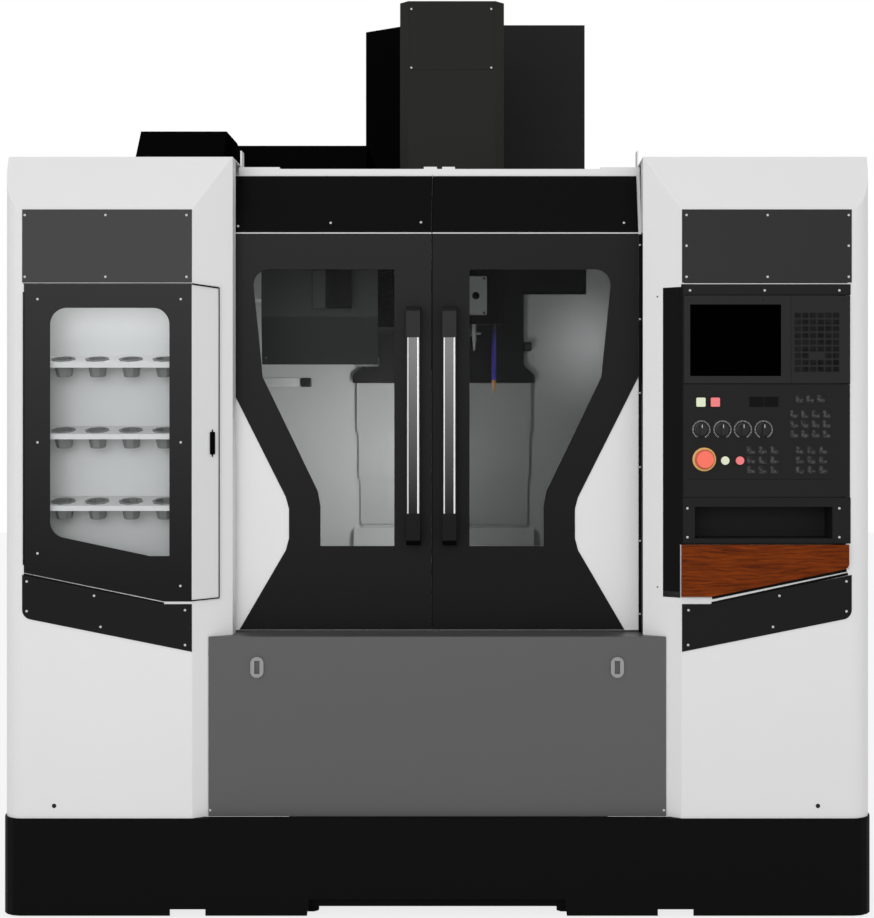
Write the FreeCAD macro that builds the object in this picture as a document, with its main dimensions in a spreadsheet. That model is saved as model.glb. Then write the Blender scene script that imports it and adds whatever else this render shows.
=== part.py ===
import FreeCAD, Part
import Sketcher
import math
import os

# Vertical machining centre with an enclosure, a disc tool magazine and a double change arm.
# Millimetres. +X is to the operator's right, +Y runs from the operator into the machine, +Z is up.
# The origin is on the floor, under the middle of the overall box.

Vec = FreeCAD.Vector
doc = FreeCAD.newDocument("MachiningCentre")
sheet = doc.addObject("Spreadsheet::Sheet", "Sizes")
rows = []
kept = {}


# ---------------------------------------------------------------- sizes and formulas

class Size:
    """A number that remembers the spreadsheet formula it comes from."""

    def __init__(self, value, text):
        self.value = value
        self.text = text

    def __add__(self, other):
        other = as_size(other)
        return Size(self.value + other.value, f"({self.text} + {other.text})")

    def __sub__(self, other):
        other = as_size(other)
        return Size(self.value - other.value, f"({self.text} - {other.text})")

    def __mul__(self, other):
        other = as_size(other)
        return Size(self.value * other.value, f"({self.text} * {other.text})")

    def __truediv__(self, other):
        other = as_size(other)
        return Size(self.value / other.value, f"({self.text} / {other.text})")

    def __radd__(self, other):
        return as_size(other) + self

    def __rsub__(self, other):
        return as_size(other) - self

    def __rmul__(self, other):
        return as_size(other) * self

    def __neg__(self):
        return Size(-self.value, f"(0 - {self.text})")


def as_size(number):
    if isinstance(number, Size):
        return number
    text = f"{number:.9g}"
    return Size(float(number), text if number >= 0 else f"({text})")


def size(name, value):
    """Write a driving dimension into the spreadsheet and give it back as a formula."""
    rows.append(name)
    row = len(rows)
    sheet.set(f"A{row}", name)
    sheet.set(f"B{row}", str(value))
    sheet.setAlias(f"B{row}", name)
    sheet.recompute()
    return Size(float(sheet.getContents(f"B{row}")), f"Sizes.{name}")


def bind(thing, path, formula):
    thing.setExpression(path, as_size(formula).text)


# ---------------------------------------------------------------- building helpers

PLANES = {"front": "XZ_Plane", "side": "YZ_Plane", "plan": "XY_Plane"}


def refresh(*items):
    """Rebuild these features only, in this order."""
    for item in items:
        item.recompute()


def new_body(label):
    body = doc.addObject("PartDesign::Body", label)
    body.Label = label
    return body


def disc(x, y, radius):
    """A circle in a sketch: centre and radius."""
    return ("disc", x, y, radius)


def polygon(x, y, radius, sides):
    """A regular outline in a sketch: centre, radius to the corners and number of sides."""
    corners = []
    for number in range(sides):
        angle = math.radians(360 / sides * (number + 0.5))
        corners.append((x + radius * round(math.cos(angle), 6), y + radius * round(math.sin(angle), 6)))
    return corners


def rect(x_low, y_low, x_high, y_high):
    """Four corners of an upright rectangle in a sketch."""
    return [(x_low, y_low), (x_high, y_low), (x_high, y_high), (x_low, y_high)]


def draw_loop(sketch, loop):
    """Add one closed outline, with every corner or centre held by its distances from the origin."""
    first = sketch.GeometryCount
    origin = -1
    rules = []
    holds = []
    if loop[0] == "disc":
        x, y, radius = (as_size(part) for part in loop[1:])
        sketch.addGeometry(Part.Circle(Vec(x.value, y.value, 0), Vec(0, 0, 1), radius.value), False)
        rules.append(Sketcher.Constraint("DistanceX", origin, 1, first, 3, x.value))
        rules.append(Sketcher.Constraint("DistanceY", origin, 1, first, 3, y.value))
        rules.append(Sketcher.Constraint("Radius", first, radius.value))
        holds = [(0, x), (1, y), (2, radius)]
    else:
        corners = [(as_size(x), as_size(y)) for x, y in loop]
        count = len(corners)
        lines = []
        for index, (x, y) in enumerate(corners):
            next_x, next_y = corners[(index + 1) % count]
            lines.append(Part.LineSegment(Vec(x.value, y.value, 0), Vec(next_x.value, next_y.value, 0)))
        sketch.addGeometry(lines, False)
        for index in range(count):
            following = first + (index + 1) % count
            rules.append(Sketcher.Constraint("Coincident", first + index, 2, following, 1))
        for index, (x, y) in enumerate(corners):
            holds.append((len(rules), x))
            rules.append(Sketcher.Constraint("DistanceX", origin, 1, first + index, 1, x.value))
            holds.append((len(rules), y))
            rules.append(Sketcher.Constraint("DistanceY", origin, 1, first + index, 1, y.value))
    start = sketch.ConstraintCount
    sketch.addConstraint(rules)
    for index, formula in holds:
        bind(sketch, f"Constraints[{start + index}]", formula)


def new_sketch(body, view, loops, level):
    """A sketch on one of the body's own origin planes, moved along the plane's axis to a level."""
    sketch = body.newObject("Sketcher::SketchObject", f"{body.Name}_outline")
    plane = next(item for item in body.Origin.OriginFeatures if item.Role == PLANES[view])
    sketch.AttachmentSupport = [(plane, "")]
    sketch.MapMode = "FlatFace"
    bind(sketch, "AttachmentOffset.Base.z", -as_size(level) if view == "front" else level)
    for loop in loops:
        draw_loop(sketch, loop)
    return sketch


def slab(body, view, loops, low, high):
    """Add material between two levels along the view's axis. Inner loops are holes."""
    sketch = new_sketch(body, view, loops, high if view == "front" else low)
    pad = body.newObject("PartDesign::Pad", f"{body.Name}_pad")
    pad.Profile = sketch
    bind(pad, "Length", as_size(high) - low)
    body.Tip = pad
    refresh(sketch, pad, body)
    return body


def carve(body, view, loops, low, high):
    """Remove material between two levels along the view's axis."""
    before = body.Shape.Volume
    sketch = new_sketch(body, view, loops, low if view == "front" else high)
    pocket = body.newObject("PartDesign::Pocket", f"{body.Name}_pocket")
    pocket.Profile = sketch
    pocket.Type = "Length"
    bind(pocket, "Length", as_size(high) - low)
    body.Tip = pocket
    refresh(sketch, pocket, body)
    if body.Shape.Volume >= before:
        print(f"{body.Label}: a pocket removed nothing")
    return body


def place(view, across, up, level):
    """A point in space from a view's two sketch coordinates and its level."""
    across, up, level = as_size(across).value, as_size(up).value, as_size(level).value
    if view == "front":
        return Vec(across, level, up)
    if view == "side":
        return Vec(level, across, up)
    return Vec(across, up, level)


def ease(body, kind, radius, view, corners, level):
    """Fillet or chamfer the edges of the body that run along the view's axis through given corners."""
    last = body.Tip
    shape = last.Shape
    names = []
    for across, up in corners:
        spot = Part.Vertex(place(view, across, up, level))
        for number, edge in enumerate(shape.Edges, 1):
            if edge.BoundBox.DiagonalLength > 1e-6 and edge.distToShape(spot)[0] < 0.01:
                names.append(f"Edge{number}")
    feature = body.newObject(f"PartDesign::{kind}", f"{body.Name}_{kind.lower()}")
    feature.Base = (last, names)
    bind(feature, "Radius" if kind == "Fillet" else "Size", radius)
    body.Tip = feature
    refresh(feature, body)
    if not feature.isValid():
        print(f"{body.Label}: a {kind.lower()} failed on {len(names)} edges")
    return body


def box(label, x_span, y_span, z_span):
    """An upright box from its spans along X, Y and Z."""
    item = doc.addObject("Part::Box", label)
    item.Label = label
    for side, axis, (low, high) in zip(("Length", "Width", "Height"), "xyz", (x_span, y_span, z_span)):
        bind(item, side, as_size(high) - low)
        bind(item, f"Placement.Base.{axis}", low)
    return item


TURNS = {"x": (Vec(0, 1, 0), 90), "y": (Vec(1, 0, 0), -90), "z": (Vec(0, 0, 1), 0)}


def rod(label, axis, start, length, radius):
    """A round bar from its start point along X, Y or Z."""
    item = doc.addObject("Part::Cylinder", label)
    item.Label = label
    item.Placement = FreeCAD.Placement(Vec(), FreeCAD.Rotation(*TURNS[axis]))
    bind(item, "Radius", radius)
    bind(item, "Height", length)
    for name, value in zip("xyz", start):
        bind(item, f"Placement.Base.{name}", value)
    return item


def taper(label, start, length, radius_low, radius_high):
    """A cone standing on its start point."""
    item = doc.addObject("Part::Cone", label)
    item.Label = label
    bind(item, "Radius1", radius_low)
    bind(item, "Radius2", radius_high)
    bind(item, "Height", length)
    for name, value in zip("xyz", start):
        bind(item, f"Placement.Base.{name}", value)
    return item


def prism(label, axis, start, length, radius, sides, lean=0):
    """A regular many-sided bar along X, Y or Z, then leaned about X. The radius is to its corners."""
    item = doc.addObject("Part::Prism", label)
    item.Label = label
    item.Polygon = sides
    turn = FreeCAD.Rotation(Vec(1, 0, 0), lean).multiply(FreeCAD.Rotation(*TURNS[axis]))
    item.Placement = FreeCAD.Placement(Vec(), turn)
    bind(item, "Circumradius", radius)
    bind(item, "Height", length)
    for name, value in zip("xyz", start):
        bind(item, f"Placement.Base.{name}", value)
    return item


def frustum(label, start, length, radius_low, radius_high, sides, lean=0):
    """A many-sided cone, leaned about X: what square wedges turned about one axis share.

    The radii are to its flats, and the number of sides is a multiple of four."""
    wedges = []
    for number in range(sides // 4):
        item = doc.addObject("Part::Wedge", f"{label}_wedge_{number + 1}")
        turn = FreeCAD.Rotation(Vec(1, 0, 0), lean)
        turn = turn.multiply(FreeCAD.Rotation(Vec(0, 0, 1), 360 / sides * number))
        item.Placement = FreeCAD.Placement(Vec(), turn.multiply(FreeCAD.Rotation(Vec(1, 0, 0), 90)))
        bind(item, "Ymin", 0)
        bind(item, "Ymax", length)
        for low, high, radius in (("min", "max", radius_low), ("2min", "2max", radius_high)):
            for axis in "XZ":
                bind(item, f"{axis}{low}", -as_size(radius))
                bind(item, f"{axis}{high}", radius)
        for name, value in zip("xyz", start):
            bind(item, f"Placement.Base.{name}", value)
        wedges.append(item)
    return common(label, wedges)


def frame_bars(name, outer, inner, y_span):
    """Four straight bars around an upright opening. Outer and inner: X low, X high, Z low, Z high."""
    x_low, x_high, z_low, z_high = outer
    left, right, low, high = inner
    return [box(f"{name}_left", (x_low, left), y_span, (low, high)),
            box(f"{name}_right", (right, x_high), y_span, (low, high)),
            box(f"{name}_bottom", (x_low, x_high), y_span, (z_low, low)),
            box(f"{name}_top", (x_low, x_high), y_span, (high, z_high))]


def fuse(label, pieces):
    item = doc.addObject("Part::MultiFuse", label)
    item.Label = label
    item.Shapes = pieces
    return item


def common(label, pieces):
    item = doc.addObject("Part::MultiCommon", label)
    item.Label = label
    item.Shapes = pieces
    return item


def cut(label, base, tool):
    item = doc.addObject("Part::Cut", label)
    item.Label = label
    item.Base = base
    item.Tool = tool
    return item


def group(label, pieces):
    """Separate solids that share one node."""
    item = doc.addObject("Part::Compound", label)
    item.Label = label
    item.Links = pieces
    return item


def keep(item):
    """Mark a finished sub-part for export under its label."""
    kept[item.Label] = item
    return item


# ---------------------------------------------------------------- overall sizes

overall_width = size("overall_width", 2308)
overall_depth = size("overall_depth", 2173)
sheet_wall = size("sheet_wall", 3)
fit_gap = size("fit_gap", 0.3)
skirt_proud = size("skirt_proud", 4)

operator_wall = size("operator_panel_wall", 3)
stop_height = size("emergency_stop_height", 24)
front_y = operator_wall + stop_height - overall_depth / 2
back_y = overall_depth / 2


def depth(distance):
    """The Y of a plane that lies this far behind the pods' front."""
    return front_y + distance


pod_half = overall_width / 2 - skirt_proud

skirt_height = size("skirt_height", 260)
body_depth = size("body_depth", 1500)
sill_height = size("sill_height", 737)
door_clearance = size("door_clearance", 5)
door_bottom = sill_height + door_clearance

# ---------------------------------------------------------------- base skirt

skirt_corner = size("skirt_corner", 55)
skirt_lift = size("skirt_lift", 4)
notch_half = size("front_notch_half_width", 337)
notch_height = size("front_notch_height", 47)
notch_slant = size("front_notch_slant", 6)
deck_half = size("deck_opening_half_width", 640)
skirt_rear_gap = size("skirt_rear_gap_half_width", 500)
corner_facets = 4


def make_base_skirt():
    """A plinth of welded plates: front, rounded corners, sides, rear and a deck around the machine."""
    half = overall_width / 2
    near, far = depth(-skirt_proud), depth(body_depth + skirt_proud)
    wall = skirt_proud
    deck_low = skirt_height - wall * 2
    straight = half - skirt_corner
    band = box("skirt_front_band", (-straight, straight), (near, near + wall), (notch_height, skirt_height))
    pieces = [band]
    for name, side, notch in (("left", -1, size("left_notch_x", -658)), ("right", 1, size("right_notch_x", 630))):
        toe = new_body(f"skirt_{name}_toe")
        outline = [((notch_half + notch_slant) * side, skirt_lift), (notch_half * side, notch_height),
                   (straight * side, notch_height), (straight * side, skirt_lift),
                   (notch + 47 * side, skirt_lift), (notch + 47 * side, 21), (notch - 47 * side, 21),
                   (notch - 47 * side, skirt_lift)]
        slab(toe, "front", [outline], near, near + wall)
        pieces.append(toe)
        centre_x, centre_y = straight * side, near + skirt_corner
        for number in range(corner_facets):
            corner = []
            for radius, step in ((skirt_corner, 0), (skirt_corner, 1), (skirt_corner - wall, 1),
                                 (skirt_corner - wall, 0)):
                angle = math.radians(90 / corner_facets * (number + step))
                corner.append((centre_x + radius * round(side * math.sin(angle), 6),
                               centre_y - radius * round(math.cos(angle), 6)))
            facet = new_body(f"skirt_{name}_corner_{number + 1}")
            slab(facet, "plan", [corner], skirt_lift, skirt_height)
            pieces.append(facet)
        flank = sorted((half * side, (half - wall) * side), key=lambda part: part.value)
        pieces.append(box(f"skirt_{name}_side", flank, (centre_y, far), (skirt_lift, skirt_height)))
        back = sorted((skirt_rear_gap * side, (half - wall) * side), key=lambda part: part.value)
        pieces.append(box(f"skirt_{name}_rear", back, (far - wall, far), (skirt_lift, skirt_height)))
        deck = new_body(f"skirt_{name}_deck")
        outer = (half - wall) * side
        slab(deck, "plan", [[(deck_half * side, near + wall), (straight * side, near + wall),
                             (outer, centre_y), (outer, far - wall), (deck_half * side, far - wall)]],
             deck_low, skirt_height)
        pieces.append(deck)
        strip = sorted((skirt_rear_gap * side, deck_half * side), key=lambda part: part.value)
        pieces.append(box(f"skirt_{name}_rear_deck", strip, (far - 60, far - wall), (deck_low, skirt_height)))
    pieces.append(box("skirt_front_deck", (-deck_half, deck_half), (near + wall, depth(20)),
                      (deck_low, skirt_height)))
    return keep(group("base_skirt", pieces))


make_base_skirt()

# ---------------------------------------------------------------- front pods

pod_top = size("pod_top", 2018)
pod_fold = size("pod_front_fold_height", 1868)
slant_depth = size("slant_depth", 63)
pod_inner_front = size("pod_inner_front_x", 646)
pod_inner = size("pod_inner_x", 550)
pod_corner = size("pod_corner", 55)
return_end = size("return_wall_end", 112)

cabinet_left = size("opening_outer_x", 1080)
cabinet_right = size("opening_inner_x", 588)
console_left = size("console_opening_inner_x", 600)
cabinet_top = size("opening_top", 1664)
cabinet_low = size("opening_low", 842)
cabinet_slope_x = size("opening_slope_start_x", 720)
cabinet_slope_low = size("opening_slope_end", 918)

magazine_left = size("magazine_left_x", -939)
magazine_right = size("magazine_right_x", -674)
magazine_front = size("magazine_front", 548)


def pod_outline(side, inset, open_inside):
    """Plan of a pod: outer side, front, slanted face, return wall, then back to the rear."""
    outer = (pod_half - inset) * side
    wall = (pod_inner + inset) * side
    points = [
        (outer, depth(body_depth - inset)),
        (outer, depth(0) + inset),
        ((pod_inner_front + inset * 0.5) * side, depth(0) + inset),
        (wall, depth(slant_depth) + inset * 0.5),
    ]
    if not open_inside:
        return points + [(wall, depth(body_depth - inset))]
    edge = (pod_inner - 1) * side
    return points + [(wall, depth(return_end)), (edge, depth(return_end)), (edge, depth(body_depth - inset))]


def make_pod(label, side):
    outside = new_body(f"{label}_outside")
    slab(outside, "plan", [pod_outline(side, as_size(0), False)], skirt_height, pod_top)
    ease(outside, "Fillet", pod_corner, "plan", [(pod_half * side, depth(0))], pod_top / 2)
    wedge = [(depth(0) - 1, pod_fold), (depth(0), pod_fold), (depth(slant_depth), pod_top),
             (depth(slant_depth), pod_top + 1), (depth(0) - 1, pod_top + 1)]
    carve(outside, "side", [wedge], -overall_width, overall_width)

    hollow = new_body(f"{label}_hollow")
    slab(hollow, "plan", [pod_outline(side, sheet_wall, True)], skirt_height - 1, pod_top - sheet_wall)
    corner = [((pod_half - sheet_wall) * side, depth(0) + sheet_wall)]
    ease(hollow, "Fillet", pod_corner - sheet_wall, "plan", corner, pod_top / 2)
    lean = sheet_wall * 1.1
    inner_wedge = [(depth(0), pod_fold - lean), (depth(0) + sheet_wall, pod_fold - lean + sheet_wall * 2),
                   (depth(slant_depth) + sheet_wall, pod_top), (depth(slant_depth) + sheet_wall, pod_top + 1),
                   (depth(0), pod_top + 1)]
    carve(hollow, "side", [inner_wedge], -overall_width, overall_width)

    opening = new_body(f"{label}_opening")
    inner_edge = (cabinet_right if side < 0 else console_left) * side
    edge = [(cabinet_left * side, cabinet_top), (inner_edge, cabinet_top),
            (inner_edge, cabinet_low), (cabinet_slope_x * side, cabinet_low),
            (cabinet_left * side, cabinet_slope_low)]
    slab(opening, "front", [edge], depth(-1), depth(50))
    tools = [hollow, opening]
    if side < 0:
        roof = new_body(f"{label}_roof_opening")
        slab(roof, "plan", [rect(magazine_left - 6, depth(magazine_front) - 6, magazine_right + 6,
                                 depth(body_depth) + 1)], pod_top - 40, pod_top + 1)
        tools.append(roof)
    return keep(cut(label, outside, fuse(f"{label}_tools", tools)))


make_pod("left_pod", -1)
make_pod("right_pod", 1)

# ---------------------------------------------------------------- black plates on the pods

plate_wall = size("plate_wall", 2)
seal_reach = size("door_seal_reach", 7)
seal_wall = size("door_seal_wall", 1.2)
seal_thick = size("door_seal_thickness", 5)
seal_top = size("door_seal_top", 1816)
plate_outer = size("plate_outer_x", 1095)
upper_plate_low = size("upper_plate_low", 1675)
lower_plate_inner_low = size("lower_plate_inner_low", 700)
lower_plate_outer_low = size("lower_plate_outer_low", 790)
lower_plate_inner_top = size("lower_plate_inner_top", 826)
lower_plate_outer_top = size("lower_plate_outer_top", 903)
lower_plate_corner = size("lower_plate_corner", 26)


def make_pod_plates():
    plates = []
    for name, side in (("left", -1), ("right", 1)):
        inner = (pod_inner_front + 1) * side
        outer = plate_outer * side
        upper = new_body(f"{name}_upper_plate")
        slab(upper, "front", [rect(inner, upper_plate_low, outer, pod_fold)], depth(-plate_wall), depth(0))
        lower = new_body(f"{name}_lower_plate")
        shape = [(inner, lower_plate_inner_low), (outer, lower_plate_outer_low),
                 (outer, lower_plate_outer_top), (cabinet_slope_x * side, lower_plate_inner_top),
                 (inner, lower_plate_inner_top)]
        slab(lower, "front", [shape], depth(-plate_wall), depth(0))
        ease(lower, "Fillet", lower_plate_corner, "front", [(outer, lower_plate_outer_low)],
             depth(-plate_wall / 2))
        plates += [upper, lower]
    near, edge, far = depth(slant_depth + 1), depth(return_end) - seal_thick, depth(return_end)
    seal = new_body("right_door_seal")
    slab(seal, "plan", [[(pod_inner, near), (pod_inner, far), (pod_inner - seal_reach, far),
                         (pod_inner - seal_reach, edge), (pod_inner - seal_wall, edge),
                         (pod_inner - seal_wall, near)]], sill_height, seal_top)
    return keep(group("pod_plates", plates + [seal]))


make_pod_plates()

# ---------------------------------------------------------------- lower front panel and sill

panel_depth = size("lower_panel_depth", 22)
panel_fold = size("lower_panel_fold", 18)
pull_x = size("pull_ring_x", 478)
pull_z = size("pull_ring_z", 656)
pull_half_width = size("pull_ring_half_width", 18)
pull_half_height = size("pull_ring_half_height", 28)
pull_slot = size("pull_ring_slot_half", 7)
pull_proud = size("pull_ring_proud", 6)
panel_half = pod_inner_front - (pod_inner_front - pod_inner) * ((panel_depth + sheet_wall) / slant_depth) - fit_gap * 2


def make_lower_panel():
    body = new_body("lower_front_panel")
    near = depth(panel_depth)
    low = skirt_height
    high = sill_height - sheet_wall
    slab(body, "front", [rect(-panel_half, low, panel_half, high)], near, near + sheet_wall)
    back = near + sheet_wall + panel_fold
    inner = panel_half - panel_fold * 1.6
    slab(body, "front", [rect(-inner, low, inner, high),
                         rect(sheet_wall - inner, low + sheet_wall, inner - sheet_wall, high - sheet_wall)],
         near + sheet_wall, back)
    for centre in (-pull_x, pull_x):
        bend = pull_half_height - pull_half_width
        crown = polygon(centre, pull_z, pull_half_width, 12)
        upper = [(x, z + bend) for x, z in crown if z.value >= pull_z.value]
        lower = [(x, z - bend) for x, z in crown if z.value <= pull_z.value]
        slot = rect(centre - pull_slot, pull_z - pull_half_height * 0.62,
                    centre + pull_slot, pull_z + pull_half_height * 0.62)
        slab(body, "front", [upper + lower, slot], near - pull_proud, near)
    return keep(body)


make_lower_panel()

rail_depth = size("door_guide_depth", 129)
rail_rise = size("door_guide_rise", 20)
rail_reach = size("door_guide_reach", 1060)
sill_back = size("sill_back", 232)


def make_front_sill():
    body = new_body("front_sill")
    front_plan = [(-panel_half, depth(panel_depth)), (panel_half, depth(panel_depth)),
                  (pod_inner - fit_gap * 2, depth(slant_depth)), (pod_inner - fit_gap * 2, depth(return_end + 4)),
                  (rail_reach, depth(return_end + 4)), (rail_reach, depth(sill_back)),
                  (-rail_reach, depth(sill_back)), (-rail_reach, depth(return_end + 4)),
                  (fit_gap * 2 - pod_inner, depth(return_end + 4)), (fit_gap * 2 - pod_inner, depth(slant_depth))]
    slab(body, "plan", [front_plan], sill_height - sheet_wall, sill_height)
    web = rect(-rail_reach, depth(sill_back) - sheet_wall, rail_reach, depth(sill_back))
    slab(body, "plan", [web], skirt_height, sill_height - sheet_wall)
    guide = rect(-rail_reach, depth(rail_depth), rail_reach, depth(rail_depth) + sheet_wall)
    slab(body, "plan", [guide], sill_height, sill_height + rail_rise)
    return keep(body)


make_front_sill()

# ---------------------------------------------------------------- top beam with its fins

beam_low = size("beam_low", 1988)
beam_high = size("beam_high", 2006)
beam_front = size("beam_front", 186)
beam_back = size("beam_back", 232)
fin_top = size("fin_top", 2057)
track_z = size("door_track_z", 1950)


def make_top_beam():
    half = pod_inner + sheet_wall
    beam = box("beam_bar", (-half, half), (depth(beam_front), depth(beam_back)), (beam_low, beam_high))
    reach = box("beam_reach", (-rail_reach, rail_reach), (depth(beam_back - 20), depth(beam_back)),
                (track_z - 10, beam_high - 4))
    track = box("beam_track", (-rail_reach, rail_reach), (depth(beam_back - 34), depth(beam_back - 20)),
                (track_z - 10, track_z - 4))
    pieces = [beam, reach, track]
    for name, side in (("left", -1), ("right", 1)):
        inner = (pod_inner - 4) * side
        outer = (pod_inner - fit_gap) * side
        span = (outer, inner) if side < 0 else (inner, outer)
        pieces.append(box(f"{name}_fin", span, (depth(beam_front + 4), depth(beam_back)), (beam_low, fin_top)))
        raised = (-half, -half + 112) if side < 0 else (half - 108, half)
        pieces.append(box(f"{name}_raised_end", raised, (depth(beam_front), depth(beam_back)),
                          (beam_high, beam_high + 5)))
        stop = (-43, -7) if side < 0 else (8, 43)
        pieces.append(box(f"{name}_door_stop", stop, (depth(beam_front + 6), depth(beam_front + 30)),
                          (beam_high, beam_high + 7)))
    return keep(fuse("top_beam", pieces))


make_top_beam()

# ---------------------------------------------------------------- splash guard walls inside

rear_wall_depth = size("rear_wall_depth", 1316)
guard_front = beam_back + fit_gap
guard_wall = size("guard_wall", 2)
guard_top = size("guard_top", 2000)
pan_height = size("chip_pan_height", 640)
pan_inner = size("chip_pan_inner_height", 306)
axis_x = size("spindle_axis_x", 20)
spindle_depth = size("spindle_axis_depth", 750)
bed_top = size("bed_top", 620)
bed_top_half = size("bed_top_half_width", 360)


def make_splash_walls():
    inside = pod_half - sheet_wall - fit_gap
    rear = new_body("rear_wall")
    outline = rect(-inside, pan_inner - 6, inside, guard_top)
    slab(rear, "front", [outline], depth(rear_wall_depth), depth(rear_wall_depth) + guard_wall)
    bed_left = axis_x - bed_top_half - 1
    bed_right = axis_x + bed_top_half + 1
    way = [(bed_left, pan_inner - 7), (bed_right, pan_inner - 7), (bed_right, bed_top + 1), (220, bed_top + 1),
           (220, 1757), (476, 1757), (476, guard_top + 1), (-420, guard_top + 1), (-420, 1620), (-250, 1620),
           (-250, bed_top + 1), (bed_left, bed_top + 1)]
    carve(rear, "front", [way], depth(rear_wall_depth) - 1, depth(rear_wall_depth) + guard_wall + 1)
    pieces = [rear]
    for name, side in (("left", -1), ("right", 1)):
        wall = new_body(f"{name}_front_wall")
        edge = pod_inner + 8
        slab(wall, "front", [rect(edge * side, pan_height, inside * side, guard_top)],
             depth(guard_front), depth(guard_front) + guard_wall)
        pan = new_body(f"{name}_chip_pan")
        pan_end = axis_x + bed_top_half * side
        slope = [(inside * side, pan_height), (pan_end, pan_inner), (pan_end, pan_inner - guard_wall),
                 (inside * side, pan_height - guard_wall)]
        slab(pan, "front", [slope], depth(guard_front) + guard_wall, depth(rear_wall_depth))
        pieces += [wall, pan]
    return keep(group("splash_walls", pieces))


make_splash_walls()

# ---------------------------------------------------------------- sliding doors

door_plane = size("door_plane", 120)
door_split = size("door_split_x", -17.6)
split_gap = size("door_split_gap", 3)
door_width = size("door_width", 570)
hood_fold = size("hood_fold_height", 1821)
door_top = size("door_top", 1987)
hood_lean = size("hood_lean", 60)
cover_wall = size("cover_wall", 2)
seam = size("hood_seam", 4)
rim_depth = size("door_rim_depth", 18)
glass_wall = size("glass_wall", 6)
hanger_wheel = size("hanger_wheel_radius", 12)

# Window and cover outlines are measured from the line where the two doors meet.
window_side = size("window_stile", 102.2)
window_top = size("window_top", 1722)
window_low = size("window_low", 970.5)
window_corner = size("window_corner", 42)
waist_in = size("window_waist_x", 303)
waist_low = size("window_waist_low", 1079)
waist_bend = size("window_waist_bend_z", 1119)
waist_bend_in = size("window_waist_bend_x", 310)
shoulder_in = size("window_shoulder_x", 460)
shoulder_low = size("window_shoulder_z", 1430)
window_out = size("window_outer_x", 490)
cover_waist = size("cover_waist_x", 388.5)
cover_waist_top = size("cover_waist_top", 1071)
cover_waist_low = size("cover_waist_low", 991)
cover_hip = size("cover_hip_x", 397)
cover_foot = size("cover_foot_x", 523)
cover_outer = size("cover_outer_x", 560.8)
cover_shoulder = size("cover_shoulder_z", 1405)

handle_in = size("handle_inner_x", 30)
handle_width = size("handle_width", 37.5)
handle_top = size("handle_top", 1619)
handle_low = size("handle_low", 975)
cap_top_low = size("handle_cap_top_low", 1534.5)
cap_low_top = size("handle_cap_low_top", 1061)
handle_front = size("handle_front", 66)
grip_back = size("grip_back", 92)
grip_inset = size("grip_inset", 1.5)


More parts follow.
